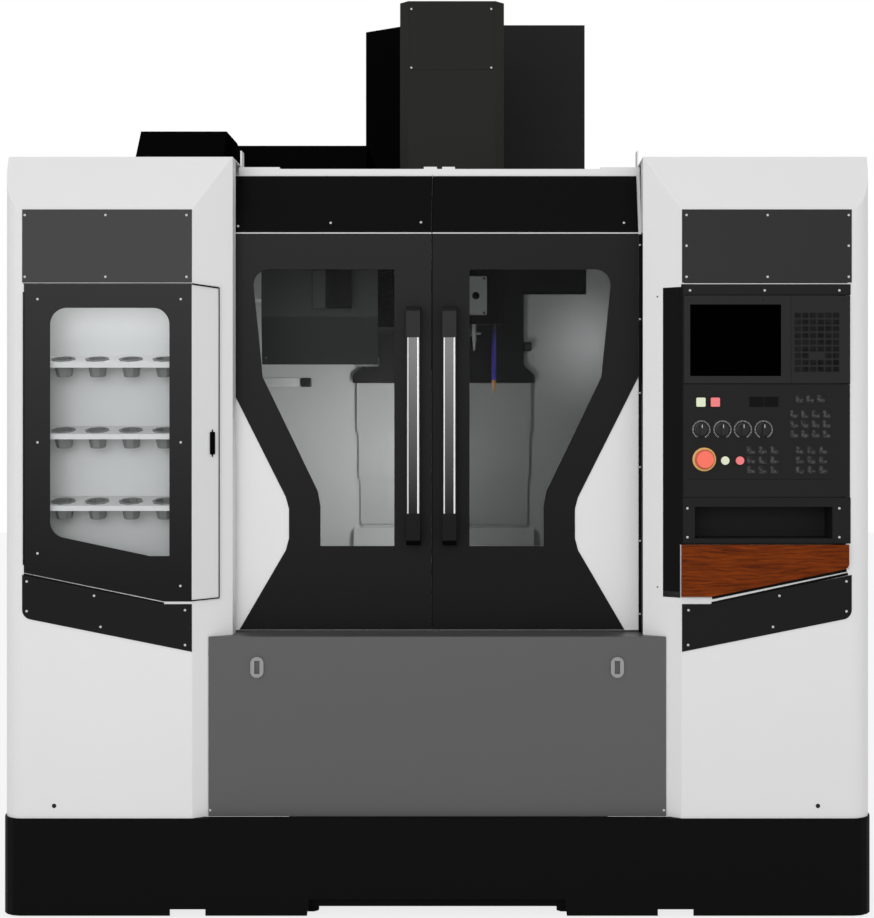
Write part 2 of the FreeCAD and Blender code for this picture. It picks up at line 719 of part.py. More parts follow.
def make_door(name, side):
    def out(distance):
        """X of a point this far out from the meeting line of the doors."""
        return door_split + as_size(distance) * side

    inner = out(split_gap / 2)
    outer = out(door_width)
    front = depth(door_plane)
    low, high = (outer, inner) if side < 0 else (inner, outer)
    window = [(out(window_side), window_low), (out(waist_in), window_low), (out(waist_in), waist_low),
              (out(waist_bend_in), waist_bend), (out(shoulder_in), shoulder_low),
              (out(window_out), window_top), (out(window_side), window_top)]

    skin = new_body(f"{name}_door_skin")
    fold = [(front, door_bottom), (front, hood_fold), (front + hood_lean, door_top),
            (front + hood_lean + sheet_wall, door_top), (front + sheet_wall, hood_fold - sheet_wall / 3),
            (front + sheet_wall, door_bottom)]
    slab(skin, "side", [fold], low, high)
    carve(skin, "front", [window], front - 1, front + sheet_wall + 1)
    ease(skin, "Fillet", window_corner, "front", [(out(window_out), window_top)], front + sheet_wall / 2)
    rim = [rect(low, door_bottom, high, hood_fold - 20),
           rect(low + sheet_wall, door_bottom + sheet_wall, high - sheet_wall, hood_fold - 20 - sheet_wall)]
    bottom_gap = sheet_wall * 2 + fit_gap
    rim[0] = rect(low, door_bottom + rail_rise + fit_gap, high, hood_fold - 20)
    rim[1] = rect(low + sheet_wall, door_bottom + rail_rise + bottom_gap, high - sheet_wall,
                  hood_fold - 20 - sheet_wall)
    slab(skin, "front", rim, front + sheet_wall, front + sheet_wall + rim_depth)
    hangers = []
    track_top = track_z - 4
    wheel_y = depth(beam_back - 32)
    for number, distance in enumerate((60, door_width - 60), 1):
        x = out(distance)
        hangers.append(box(f"{name}_door_hanger_{number}", (x - 12, x + 12), (depth(173), wheel_y + 2),
                           (track_top + 4, track_top + 20)))
        hangers.append(rod(f"{name}_door_wheel_{number}", "y", (x, wheel_y, track_top + fit_gap + hanger_wheel),
                           10, hanger_wheel))
    keep(fuse(f"{name}_door_sheet", [skin] + hangers))

    cover = new_body(f"{name}_face_plate")
    edge = out(cover_outer)
    vase = [(inner, door_bottom + 1), (out(cover_foot), door_bottom + 1), (out(cover_hip), cover_waist_low - 32),
            (out(cover_waist), cover_waist_low), (out(cover_waist), cover_waist_top),
            (out(cover_hip), cover_waist_top + 32), (edge, cover_shoulder + 25), (edge, hood_fold - seam / 2),
            (inner, hood_fold - seam / 2)]
    slab(cover, "front", [vase, window], front - cover_wall, front)
    ease(cover, "Fillet", window_corner, "front", [(out(window_out), window_top)], front - cover_wall / 2)
    hood = new_body(f"{name}_hood_plate")
    share = (seam / 2) * (hood_lean / (door_top - hood_fold))
    lean = [(front + share - cover_wall, hood_fold + seam / 2), (front + share, hood_fold + seam / 2),
            (front + hood_lean - share, door_top - seam / 2),
            (front + hood_lean - share - cover_wall, door_top - seam / 2)]
    hood_low, hood_high = (edge, inner) if side < 0 else (inner, edge)
    slab(hood, "side", [lean], hood_low, hood_high)
    keep(group(f"{name}_door_cover", [cover, hood]))

    pane = new_body(f"{name}_door_window")
    lap = 14
    glass = [(out(window_side - lap), window_low - lap), (out(waist_in + lap), window_low - lap),
             (out(waist_in + lap), waist_low), (out(shoulder_in + lap * 1.4), shoulder_low),
             (out(window_out + lap), window_top - lap), (out(window_out - lap), window_top + lap),
             (out(window_side - lap), window_top + lap)]
    slab(pane, "front", [glass], front + sheet_wall, front + sheet_wall + glass_wall)
    keep(pane)

    near_x, far_x = out(handle_in), out(handle_in + handle_width)
    bar_low, bar_high = (far_x, near_x) if side < 0 else (near_x, far_x)
    contact = front - cover_wall
    caps = []
    for part, top, low_z, knee in (("top", handle_top, cap_top_low, 1), ("low", cap_low_top, handle_low, -1)):
        outer_z, inner_z = (top, low_z) if knee > 0 else (low_z, top)
        cap = new_body(f"{name}_handle_{part}_cap")
        bend = [(depth(handle_front), inner_z), (depth(handle_front), outer_z - knee * 14),
                (depth(handle_front) + 14, outer_z), (contact, outer_z), (contact, outer_z - knee * 30),
                (depth(grip_back) + 8, outer_z - knee * 30), (depth(grip_back), outer_z - knee * 42),
                (depth(grip_back), inner_z)]
        slab(cap, "side", [bend], bar_low, bar_high)
        caps.append(cap)
    grip = new_body(f"{name}_handle_grip")
    profile = rect(bar_low + grip_inset, depth(handle_front) + grip_inset, bar_high - grip_inset,
                   depth(grip_back) - grip_inset)
    slab(grip, "plan", [profile], cap_low_top, cap_top_low)
    ease(grip, "Fillet", 6, "plan", profile, (cap_low_top + cap_top_low) / 2)
    keep(group(f"{name}_door_handle", caps + [grip]))


make_door("left", -1)
make_door("right", 1)

# ---------------------------------------------------------------- tool cabinet in the left pod

rack_wall = size("rack_wall", 2)
rack_left = size("rack_left_x", -1088)
rack_right = size("rack_right_x", -598)
rack_low = size("rack_low", 834)
rack_top = size("rack_top", 1671)
rack_back = size("rack_back", 112)
rack_notch = size("rack_right_start", 46)
rack_fold_x = size("rack_fold_x", -660)
shelf_tilt = 13
shelf_pitch = size("shelf_pitch", 190)
shelf_first = size("shelf_first_z", 1094)
shelf_count = 3
shelf_run = size("shelf_run", 84)
shelf_lip = size("shelf_lip", 14)
shelf_back = size("shelf_back", 55.5)
hole_pitch = size("sleeve_pitch", 90)
hole_first = size("sleeve_first_x", -1001)
hole_count = 4
hole_radius = size("sleeve_hole_radius", 30.4)
hole_depth = size("sleeve_centre_depth", 55)
sleeve_body = size("sleeve_body_radius", 25.5)
sleeve_flange = size("sleeve_flange_radius", 32.2)
sleeve_length = size("sleeve_length", 45)
sleeve_foot = size("sleeve_foot_radius", 19)
sleeve_wall = size("sleeve_wall", 3)


def tilted(item, centre_y, centre_z):
    """Lean an item about X around a point, by the tilt of the shelves."""
    item.Placement = FreeCAD.Placement(Vec(), FreeCAD.Rotation(Vec(1, 0, 0), shelf_tilt))
    bind(item, "Placement.Base.y", centre_y)
    bind(item, "Placement.Base.z", centre_z)
    return item


def make_tool_rack():
    near, notch, far = depth(sheet_wall), depth(rack_notch), depth(rack_back)
    inside = far - rack_wall
    tall = (rack_low, rack_top)
    pieces = [box("rack_left_wall", (rack_left, rack_left + rack_wall), (near, inside), tall),
              box("rack_right_wall", (rack_right - rack_wall, rack_right), (notch, inside), tall),
              box("rack_back_wall", (rack_left, rack_right), (inside, far), tall)]
    plate = [(rack_left, near), (rack_fold_x, near), (rack_right, notch), (rack_right, far), (rack_left, far)]
    for name, level in (("floor", rack_low - rack_wall), ("roof", rack_top)):
        cover = new_body(f"rack_{name}")
        slab(cover, "plan", [plate], level, level + rack_wall)
        pieces.append(cover)
    cups = []
    shelf_left = rack_left + rack_wall
    shelf_right = hole_first + hole_pitch * (hole_count - 1) + 80
    foot_y = math.sin(math.radians(shelf_tilt))
    foot_z = math.cos(math.radians(shelf_tilt))
    for level in range(shelf_count):
        height = shelf_first + shelf_pitch * level
        sheet_body = new_body(f"shelf_{level + 1}_sheet")
        slab(sheet_body, "plan", [rect(shelf_left, -shelf_run / 2, shelf_right, shelf_back)], -rack_wall, 0)
        lip = rect(shelf_left, -shelf_run / 2, shelf_right, rack_wall - shelf_run / 2)
        slab(sheet_body, "plan", [lip], -shelf_lip, -rack_wall)
        holes = [prism(f"shelf_{level + 1}_hole_{column + 1}", "z", (hole_first + hole_pitch * column, 0, -5), 10,
                       hole_radius, 8) for column in range(hole_count)]
        shelf = cut(f"shelf_{level + 1}", sheet_body, fuse(f"shelf_{level + 1}_holes", holes))
        pieces.append(tilted(shelf, depth(hole_depth), height))
        for column in range(hole_count):
            name = f"sleeve_{level + 1}_{column + 1}"
            seat = (hole_first + hole_pitch * column, depth(hole_depth), height)
            foot = (seat[0], seat[1] + sleeve_length * foot_y, height - sleeve_length * foot_z)
            shell = frustum(f"{name}_shell", foot, sleeve_length, sleeve_foot, sleeve_body, 8, shelf_tilt)
            rim = prism(f"{name}_rim", "z", seat, sleeve_wall, sleeve_flange, 8, shelf_tilt)
            bore = frustum(f"{name}_bore", foot, sleeve_length + sleeve_wall + 1, sleeve_foot - sleeve_wall,
                           sleeve_body - sleeve_wall, 8, shelf_tilt)
            cups.append(cut(name, fuse(f"{name}_body", [shell, rim]), bore))
    keep(group("tool_rack", pieces))
    return keep(group("tool_sleeves", cups))


make_tool_rack()

cabinet_door_wall = size("cabinet_door_wall", 2)
cabinet_door_proud = size("cabinet_door_proud", 1)
cabinet_door_outer = size("cabinet_door_outer_x", -1090)
cabinet_door_top = size("cabinet_door_top", 1671)
cabinet_door_low = size("cabinet_door_low", 833)
cabinet_door_outer_low = size("cabinet_door_outer_low", 909)
cabinet_door_slant_end = size("cabinet_door_slant_end", 43)
cab_window_left = size("cabinet_window_left_x", -1021)
cab_window_right = size("cabinet_window_right_x", -706)
cab_window_top = size("cabinet_window_top", 1608)
cab_window_bend = size("cabinet_window_bend_z", 1009)
cab_window_radius = size("cabinet_window_radius", 44)
hinge_radius = size("cabinet_hinge_radius", 2.5)
hinge_low = size("cabinet_hinge_low", 930)
hinge_top = size("cabinet_hinge_top", 1650)


def make_cabinet_door():
    door = new_body("cabinet_door_skin")
    gap = cabinet_door_proud
    near = depth(-gap) - cabinet_door_wall
    back = depth(-gap)
    corner_x = -pod_inner_front
    ratio = (pod_inner_front - pod_inner) / slant_depth
    end_x = corner_x + ratio * cabinet_door_slant_end
    shift = cabinet_door_wall * 2.2
    front = [(cabinet_door_outer, near), (corner_x, near), (corner_x - 0.7, back), (cabinet_door_outer, back)]
    slab(door, "plan", [front], cabinet_door_low, cabinet_door_top)
    fold = new_body("cabinet_door_fold")
    slanted = [(corner_x, near), (end_x + shift, depth(cabinet_door_slant_end)),
               (end_x + 0.8, depth(cabinet_door_slant_end)), (corner_x - 0.7, back)]
    slab(fold, "plan", [slanted], cabinet_door_low, cabinet_door_top)
    below = [(cabinet_door_outer - 1, cabinet_door_low - 1), (-cabinet_slope_x, cabinet_door_low - 1),
             (-cabinet_slope_x, cabinet_door_low), (cabinet_door_outer, cabinet_door_outer_low),
             (cabinet_door_outer - 1, cabinet_door_outer_low)]
    carve(door, "front", [below], near - 1, depth(cabinet_door_slant_end) + 1)
    pane = [(cab_window_left, cab_window_bend), (-758, 953), (cab_window_right, 953),
            (cab_window_right, cab_window_top), (cab_window_left, cab_window_top)]
    carve(door, "front", [pane], near - 1, back + 1)
    ease(door, "Fillet", cab_window_radius, "front",
         [(cab_window_right, cab_window_top), (cab_window_left, cab_window_top),
          (cab_window_left, cab_window_bend)], near + cabinet_door_wall / 2)
    pin = (cabinet_door_outer - 0.5, depth(-fit_gap) - hinge_radius, hinge_low)
    hinge = rod("cabinet_hinge", "z", pin, hinge_top - hinge_low, hinge_radius)
    keep(group("cabinet_door", [fuse("cabinet_door_leaf", [door, hinge]), fold]))

    glass = new_body("cabinet_window")
    lap = 10
    outline = [(cab_window_left - lap, 1045), (cab_window_left + 33 - lap, 995), (-758, 953 - lap),
               (cab_window_right + lap, 953 - lap), (cab_window_right + lap, cab_window_top + lap),
               (cab_window_left - lap, cab_window_top + lap)]
    slab(glass, "front", [outline], back, back + gap + sheet_wall - 0.5)
    return keep(glass)


make_cabinet_door()

# ---------------------------------------------------------------- operator console in the right pod

console_back = size("console_back", 110)
console_top = size("console_top", 1662)
console_right = size("console_right_x", 1078)
console_low = size("console_low", 990)
console_bottom = size("console_bottom", 846)
drawer_left = size("drawer_left_x", 642)
drawer_right = size("drawer_right_x", 1088.7)
drawer_top = size("drawer_top", 983)
drawer_low = size("drawer_low", 846)
drawer_slope_low = size("drawer_slope_end", 921)
tub_low = size("drawer_tub_low", 928)
console_slant = size("console_slant_end", 31)
face_wall = size("console_face_wall", 3)
face_left = size("console_face_left_x", 644.9)
face_right = size("console_face_right_x", 1091.7)
face_top = size("console_face_top", 1670.5)
face_lip = size("console_lip_low", 1643)
pocket_frame_low = size("pocket_frame_low", 986)
pocket_frame_top = size("pocket_frame_top", 1107)
bezel_left = size("bezel_left_x", 652)
bezel_right = size("bezel_right_x", 1090)
bezel_groove = size("bezel_groove_x", 933)
bezel_low = size("bezel_low", 1409)
bezel_top = size("bezel_top", 1640)
bezel_proud = size("bezel_proud", 5)
screen_left = size("screen_left_x", 668)
screen_right = size("screen_right_x", 908)
screen_low = size("screen_low", 1428)
screen_top = size("screen_top", 1617)
screen_recess = size("screen_recess", 3)
operator_low = size("operator_panel_low", 1109)
operator_top = size("operator_panel_top", 1406)
pocket_left = size("pocket_left_x", 680.5)
pocket_right = size("pocket_right_x", 1044)
pocket_low = size("pocket_low", 999)
pocket_top = size("pocket_top", 1083)
pocket_deep = size("pocket_depth", 95)
key_width = size("key_width", 15)
key_height = size("key_height", 12)
key_proud = size("key_proud", 2)
key_first_x = size("key_first_x", 951.7)
key_first_z = size("key_first_z", 1588.3)
key_pitch_x = size("key_pitch_x", 20.2)
key_pitch_z = size("key_pitch_z", 17.8)


def make_console_housing():
    """A folded case inside the pod, a black face around the panels and an open pocket."""
    ratio = (pod_inner_front - pod_inner) / slant_depth
    left_near = pod_inner_front + 2
    left_far = left_near - ratio * console_slant
    near, bend, far = depth(0), depth(console_slant), depth(console_back)
    wall = sheet_wall
    inner_right = console_right - wall
    roof_low = console_top - wall
    floor_z = console_bottom + 12
    roof = new_body("console_roof")
    slab(roof, "plan", [[(left_near, near), (console_right, near), (console_right, far), (left_far, far),
                         (left_far, bend)]], roof_low, console_top)
    back = new_body("console_back_wall")
    slab(back, "front", [[(left_far, floor_z), (cabinet_slope_x, floor_z), (console_right, drawer_slope_low + 8),
                          (console_right, roof_low), (left_far, roof_low)]], far - wall, far)
    slanted = new_body("console_slanted_wall")
    slab(slanted, "plan", [[(left_near, near), (left_near + wall * 1.2, near), (left_far + wall, bend),
                            (left_far, bend)]], floor_z, roof_low)
    left = box("console_left_wall", (left_far, left_far + wall), (bend, far - wall), (floor_z, roof_low))
    right = box("console_right_wall", (inner_right, console_right), (near, far - wall),
                (drawer_slope_low + 8, roof_low))
    front = new_body("console_front_wall")
    screen_cut = rect(screen_left - 4, screen_low - 4, screen_right + 4, screen_top + 4)
    panel_cut = rect(bezel_left + 24, operator_low + 25, knob_x[-1] + 40, operator_top - 25)
    slab(front, "front", [rect(left_near + wall * 1.2, pocket_frame_top, inner_right, roof_low), screen_cut,
                          panel_cut], near, near + wall)
    lip = new_body("console_face_lip")
    slab(lip, "front", [[(face_left, pocket_frame_top), (bezel_left - fit_gap, pocket_frame_top),
                         (bezel_left - fit_gap, face_lip), (face_right, face_lip), (face_right, face_top),
                         (face_left, face_top)]], near - face_wall, near)
    mouth = (pocket_left, pocket_right, pocket_low, pocket_top)
    frame = frame_bars("pocket_frame", (face_left, face_right, pocket_frame_low, pocket_frame_top), mouth,
                       (near - face_wall, near))
    rim = (pocket_left - rack_wall, pocket_right + rack_wall, pocket_low - rack_wall, pocket_top + rack_wall)
    tray = frame_bars("pocket_tray", rim, mouth, (near, depth(pocket_deep)))
    tray_back = box("pocket_tray_back", rim[:2], (depth(pocket_deep), depth(pocket_deep) + rack_wall), rim[2:])
    return keep(group("console_housing", [roof, back, slanted, left, right, front, lip, *frame, *tray, tray_back]))


# Places of the controls on the operator panel.
button_radius = size("push_button_radius", 11)
small_hole_gap = size("button_hole_gap", 0.8)
square_half = size("square_button_half", 12)
square_z = size("square_button_z", 1359)
square_x = [size("start_button_x", 696), size("stop_button_x", 734)]
round_z = size("round_button_z", 1205)
round_x = [size("power_on_x", 760), size("power_off_x", 799)]
stop_x = size("emergency_stop_x", 705.5)
stop_z = size("emergency_stop_z", 1208)
stop_radius = size("emergency_stop_radius", 26)
stop_stem = size("emergency_stop_stem", 11)
stop_travel = size("emergency_stop_travel", 5)
knob_z = size("knob_z", 1287)
knob_x = [size("mode_knob_x", 697.7), size("feed_knob_x", 753.6), size("rapid_knob_x", 807.5),
          size("spindle_knob_x", 862.2)]
knob_radius = size("knob_radius", 15)
knob_height = size("knob_height", 18)
shaft_radius = size("knob_shaft_radius", 3)
run_gap = size("running_gap", 0.05)
button_travel = size("button_travel", 3)
button_proud = size("button_proud", 7)

make_console_housing()


def make_display():
    bezel = new_body("bezel_plate")
    near = depth(-bezel_proud)
    back = depth(0)
    pane = rect(screen_left, screen_low, screen_right, screen_top)
    slab(bezel, "front", [rect(bezel_left, bezel_low, bezel_right, bezel_top), pane], near, back)
    carve(bezel, "front", [rect(bezel_groove, bezel_low - 1, bezel_groove + 1.6, bezel_top + 1)],
          near - 1, near + 1.5)
    keys = []
    for column in range(6):
        for row in range(9):
            if row == 6 and column in (2, 3):
                continue
            x = key_first_x + key_pitch_x * column
            z = key_first_z - key_pitch_z * row
            keys.append(box(f"key_{row + 1}_{column + 1}", (x - key_width / 2, x + key_width / 2),
                            (near - key_proud, near + 1), (z - key_height / 2, z + key_height / 2)))
    keep(fuse("display_bezel", [bezel] + keys))
    screen = new_body("display_screen")
    slab(screen, "front", [rect(screen_left + fit_gap, screen_low + fit_gap, screen_right - fit_gap,
                                screen_top - fit_gap)], near + screen_recess, near + screen_recess + 3)
    return keep(screen)


make_display()

film_half = size("film_key_half", 11)
film_proud = size("film_key_proud", 1)
port_x = size("port_cover_x", 862.5)
port_z = size("port_cover_z", 1360)
film_keys = [(956.5 + 28.0 * column, 1367.6) for column in range(3)]
film_keys += [(942.2 + 28.5 * column, 1326.9 - 26.1 * row) for row in range(3) for column in range(4)]
film_keys += [(957.3 + 30.9 * column, 1231.8 - 25.8 * row) for row in range(3) for column in range(3)]
film_keys += [(828.4 + 30.9 * column, 1231.8 - 25.8 * row) for row in range(3) for column in range(3)]


def make_operator_panel():
    body = new_body("operator_plate")
    near = depth(0) - operator_wall
    holes = [polygon(x, round_z, button_radius + small_hole_gap, 12) for x in round_x]
    holes += [polygon(stop_x, stop_z, stop_stem + small_hole_gap, 12)]
    holes += [disc(x, knob_z, shaft_radius + run_gap) for x in knob_x]
    hole = square_half + small_hole_gap
    holes += [rect(x - hole, square_z - hole, x + hole, square_z + hole) for x in square_x]
    slab(body, "front", [rect(bezel_left, operator_low, bezel_right, operator_top)] + holes, near, depth(0))
    pads = [box(f"film_key_{number}", (x - film_half, x + film_half), (near - film_proud, near + 1),
                (z - film_half, z + film_half)) for number, (x, z) in enumerate(film_keys, 1)]
    covers = [box(f"port_cover_{number}", span, (near - film_proud * 2, near + 1), (port_z - 13, port_z + 13))
              for number, span in enumerate(((port_x - 38, port_x - 1.5), (port_x + 1.5, port_x + 38)), 1)]
    return keep(fuse("operator_panel", [body] + pads + covers))


make_operator_panel()


def make_controls():
    panel_front = depth(0) - operator_wall
    for name, x in zip(("start_button", "stop_button"), square_x):
        body = new_body(name)
        slab(body, "front", [rect(x - square_half, square_z - square_half, x + square_half,
                                  square_z + square_half)], panel_front - button_proud, depth(8))
        ease(body, "Chamfer", 2, "front", rect(x - square_half, square_z - square_half, x + square_half,
                                              square_z + square_half), panel_front)
        keep(body)
    for name, x in zip(("power_on_button", "power_off_button"), round_x):
        keep(prism(name, "y", (x, panel_front - button_proud, round_z), depth(8) - panel_front + button_proud,
                   button_radius, 24))
    stem = prism("stop_stem", "y", (stop_x, panel_front - 8, stop_z), 20, stop_stem, 16)
    head = frustum("stop_head", (stop_x, panel_front - 8, stop_z), stop_height - 8, stop_radius,
                   stop_radius - 4, 24, 90)
    keep(fuse("emergency_stop_button", [stem, head]))
    for name, x in zip(("mode_knob", "feed_knob", "rapid_knob", "spindle_knob"), knob_x):
        skirt = prism(f"{name}_skirt", "y", (x, panel_front - 9, knob_z), 9 - fit_gap, knob_radius, 16)
        grip = box(f"{name}_grip", (x - 5, x + 5), (panel_front - knob_height, panel_front - 9),
                   (knob_z - knob_radius * 0.95, knob_z + knob_radius * 0.95))
        shaft = rod(f"{name}_shaft", "y", (x, panel_front - fit_gap - 1, knob_z), depth(8) - panel_front + 1,
                    shaft_radius)
        keep(fuse(name, [skirt, grip, shaft]))


make_controls()

drawer_front = size("drawer_front_proud", 14)
drawer_board = size("drawer_board_thickness", 12)
drawer_travel = size("drawer_travel", 80)
drawer_deep = size("drawer_depth", 100)
tub_gap = size("drawer_tub_side_gap", 9)


def make_drawer():
    board = new_body("drawer_front")
    near = depth(-drawer_front)
    outline = [(drawer_left + 3, drawer_top), (drawer_left + 3, drawer_low),
               (cabinet_slope_x, drawer_low), (drawer_right - 3, drawer_slope_low),
               (drawer_right - 3, drawer_top)]
    slab(board, "front", [outline], near, near + drawer_board - fit_gap)
    ease(board, "Fillet", 16, "front", [(drawer_right - 3, drawer_slope_low)], near + 3)
    keep(board)

    shell = new_body("drawer_box")
    back = near + drawer_board - fit_gap
    edge = [(drawer_left, drawer_top), (drawer_left, drawer_low - 3), (cabinet_slope_x, drawer_low - 3),
            (drawer_right, drawer_slope_low - 3), (drawer_right, drawer_top)]
    slab(shell, "front", [edge], back, back + rack_wall)
    box_left, box_right = drawer_left + 10, console_right - sheet_wall - tub_gap
    tub_outline = [(box_left, tub_low), (box_right, tub_low), (box_right, drawer_top - 6),
                   (box_right - rack_wall, drawer_top - 6), (box_right - rack_wall, tub_low + rack_wall),
                   (box_left + rack_wall, tub_low + rack_wall), (box_left + rack_wall, drawer_top - 6),
                   (box_left, drawer_top - 6)]
    slab(shell, "front", [tub_outline], back + rack_wall, depth(drawer_deep) - rack_wall)
    slab(shell, "front", [rect(box_left, tub_low, box_right, drawer_top - 6)], depth(drawer_deep) - rack_wall,
         depth(drawer_deep))
    return keep(shell)


make_drawer()

# ---------------------------------------------------------------- machine bed and feet

bed_front = size("bed_front", 300)
bed_back = size("bed_back", 1820)
bed_low = size("bed_low", 40)
bed_foot_half = size("bed_foot_half_width", 460)
rail_half = size("rail_half_width", 17)
rail_height = size("rail_height", 35)
y_rail_spacing = size("y_rail_spacing", 520)
saddle_travel = size("saddle_travel", 250)


def make_bed():
    body = new_body("bed_casting")
    section = [(axis_x - bed_foot_half, bed_low), (axis_x + bed_foot_half, bed_low),
               (axis_x + bed_foot_half, 170), (axis_x + bed_top_half, 290), (axis_x + bed_top_half, bed_top),
               (axis_x - bed_top_half, bed_top), (axis_x - bed_top_half, 290),
               (axis_x - bed_foot_half, 170)]
    slab(body, "front", [section], depth(bed_front), depth(bed_back))
    wall = 40
    hollow = rect(axis_x - bed_top_half + wall, bed_low - 1, axis_x + bed_top_half - wall, bed_top - wall)
    bays = 3
    bay = (bed_back - bed_front - wall * (bays + 1)) / bays
    for number in range(bays):
        start = bed_front + wall + (bay + wall) * number
        carve(body, "front", [hollow], depth(start), depth(start + bay))
    for side in (-1, 1):
        x = axis_x + y_rail_spacing / 2 * side
        slab(body, "front", [rect(x - rail_half, bed_top, x + rail_half, bed_top + rail_height)],
             depth(bed_front + 10), depth(1290))
    return keep(body)


make_bed()

foot_radius = size("foot_radius", 55)
foot_pad = size("foot_pad_height", 16)


def make_feet():
    feet = []
    for x in (axis_x - 400, axis_x + 400):
        for y in (bed_front + 60, (bed_front + bed_back) / 2, bed_back - 60):
            name = f"foot_{len(feet) + 1}"
            pad = prism(f"{name}_pad", "z", (x, depth(y), 0), foot_pad, foot_radius, 8)
            stem = prism(f"{name}_stem", "z", (x, depth(y), foot_pad), bed_low - foot_pad, 18, 6)
            feet.append(fuse(name, [pad, stem]))
    return keep(group("levelling_feet", feet))


make_feet()


def make_coolant_tank():
    body = new_body("coolant_tank")
    near, far = depth(24), depth(bed_front) - fit_gap
    slab(body, "plan", [rect(-notch_half - 40, near, notch_half + 40, far)], 21, 250)
    carve(body, "plan", [rect(-notch_half - 37, near + 3, notch_half + 37, far - 3)], 24, 251)
    feet = [polygon(x, y, 20, 8) for x in (-notch_half, notch_half) for y in (near + 40, far - 40)]
    slab(body, "plan", feet, 0, 21)
    return keep(body)


make_coolant_tank()

# ---------------------------------------------------------------- column

column_half = size("column_half_width", 235)
column_front = size("column_front", 1365)
column_back = size("column_back", 1800)
column_top = size("column_top", 2300)
z_rail_spacing = size("z_rail_spacing", 240)
z_rail_depth = size("z_rail_depth", 20)
screw_radius = size("screw_radius", 20)
motor_half = size("axis_motor_half", 90)


def make_column():
    body = new_body("column_body")
    left, right = axis_x - column_half, axis_x + column_half
    slab(body, "plan", [rect(left, depth(column_front), right, depth(column_back))], bed_top, column_top)
    carve(body, "plan", [rect(axis_x - 95, depth(column_front) - 1, axis_x + 95, depth(column_front + 80))],
          bed_top + 200, column_top + 1)
    for number in range(3):
        low = bed_top + 180 + 460 * number
        carve(body, "side", [rect(depth(column_front + 130), low, depth(column_back - 60), low + 380)],
              left - 1, left + 60)
        carve(body, "side", [rect(depth(column_front + 130), low, depth(column_back - 60), low + 380)],
              right - 60, right + 1)
    for side in (-1, 1):
        x = axis_x + z_rail_spacing / 2 * side
        rail = rect(x - 15, depth(column_front - z_rail_depth), x + 15, depth(column_front))
        slab(body, "plan", [rail], 860, column_top - 20)
    screw = prism("z_screw", "z", (axis_x, depth(column_front + 40), bed_top + 200),
                  column_top - bed_top - 200, screw_radius, 12)
    mount = box("z_motor_plate", (axis_x - 130, axis_x + 130), (depth(column_front + 5), depth(column_front + 200)),
                (column_top, column_top + 25))
    motor = box("z_motor", (axis_x - motor_half, axis_x + motor_half),
                (depth(column_front + 20), depth(column_front + 20) + motor_half * 2),
                (column_top + 25, column_top + 300))
    return keep(fuse("column_casting", [body, screw, mount, motor]))


make_column()

cover_left = size("column_cover_left_x", -300)
cover_left_front = size("column_cover_front_left_x", -142)
cover_right = size("column_cover_right_x", 470)
cover_front = size("column_cover_front", 1310)
cover_chamfer = size("column_cover_chamfer_depth", 1407)
cover_back = size("column_cover_back", 1822.7)
cover_low = size("column_cover_low", 1763)
overall_height = size("overall_height", 2695)


def make_column_cover():
    def plan(inset):
        return [(cover_left_front + inset * 0.6, depth(cover_front) + inset),
                (cover_right - inset, depth(cover_front) + inset),
                (cover_right - inset, depth(cover_back) - inset), (cover_left + inset, depth(cover_back) - inset),
                (cover_left + inset, depth(cover_chamfer) + inset * 0.4)]

    body = new_body("column_cover")
    slab(body, "plan", [plan(as_size(0))], cover_low, overall_height)
    carve(body, "plan", [plan(sheet_wall)], cover_low - 1, overall_height - sheet_wall)
    slot = rect(axis_x - 152, cover_low - 1, axis_x + 152, 2150)
    carve(body, "front", [slot], depth(cover_front) - 1, depth(cover_front) + sheet_wall + 1)
    return keep(body)


make_column_cover()

# ---------------------------------------------------------------- spindle head

head_travel = size("head_travel", 500)
neck_half = size("neck_half_width", 140)
neck_low = size("neck_low", 1640)
neck_top = size("neck_top", 2060)
carriage_gap = size("carriage_gap", 0.3)
cartridge_radius = size("cartridge_radius", 75)
nose_low = size("nose_low", 1540)
head_cover_low = size("head_cover_low", 1608)
head_cover_top = size("head_cover_top", 2578)
head_cover_half = size("head_cover_half_width", 157.5)
head_cover_x = size("head_cover_x", 25)
head_cover_front = size("head_cover_front", 580)
head_cover_chamfer = size("head_cover_chamfer", 26)
head_cover_back = size("head_cover_back", 1000)
apron_x = size("apron_x", -20)
apron_half = size("apron_half_width", 277)
apron_flare = size("apron_flare_half_width", 316)
apron_low = size("apron_low", 1447)
apron_depth = size("apron_depth", 1280)
way_depth = size("way_cover_depth", 1285)
way_half = size("way_cover_half_width", 302)
way_step = size("way_cover_step", 6)
way_wall = size("way_cover_wall", 2)
way_end = size("way_cover_return_end", 1312)


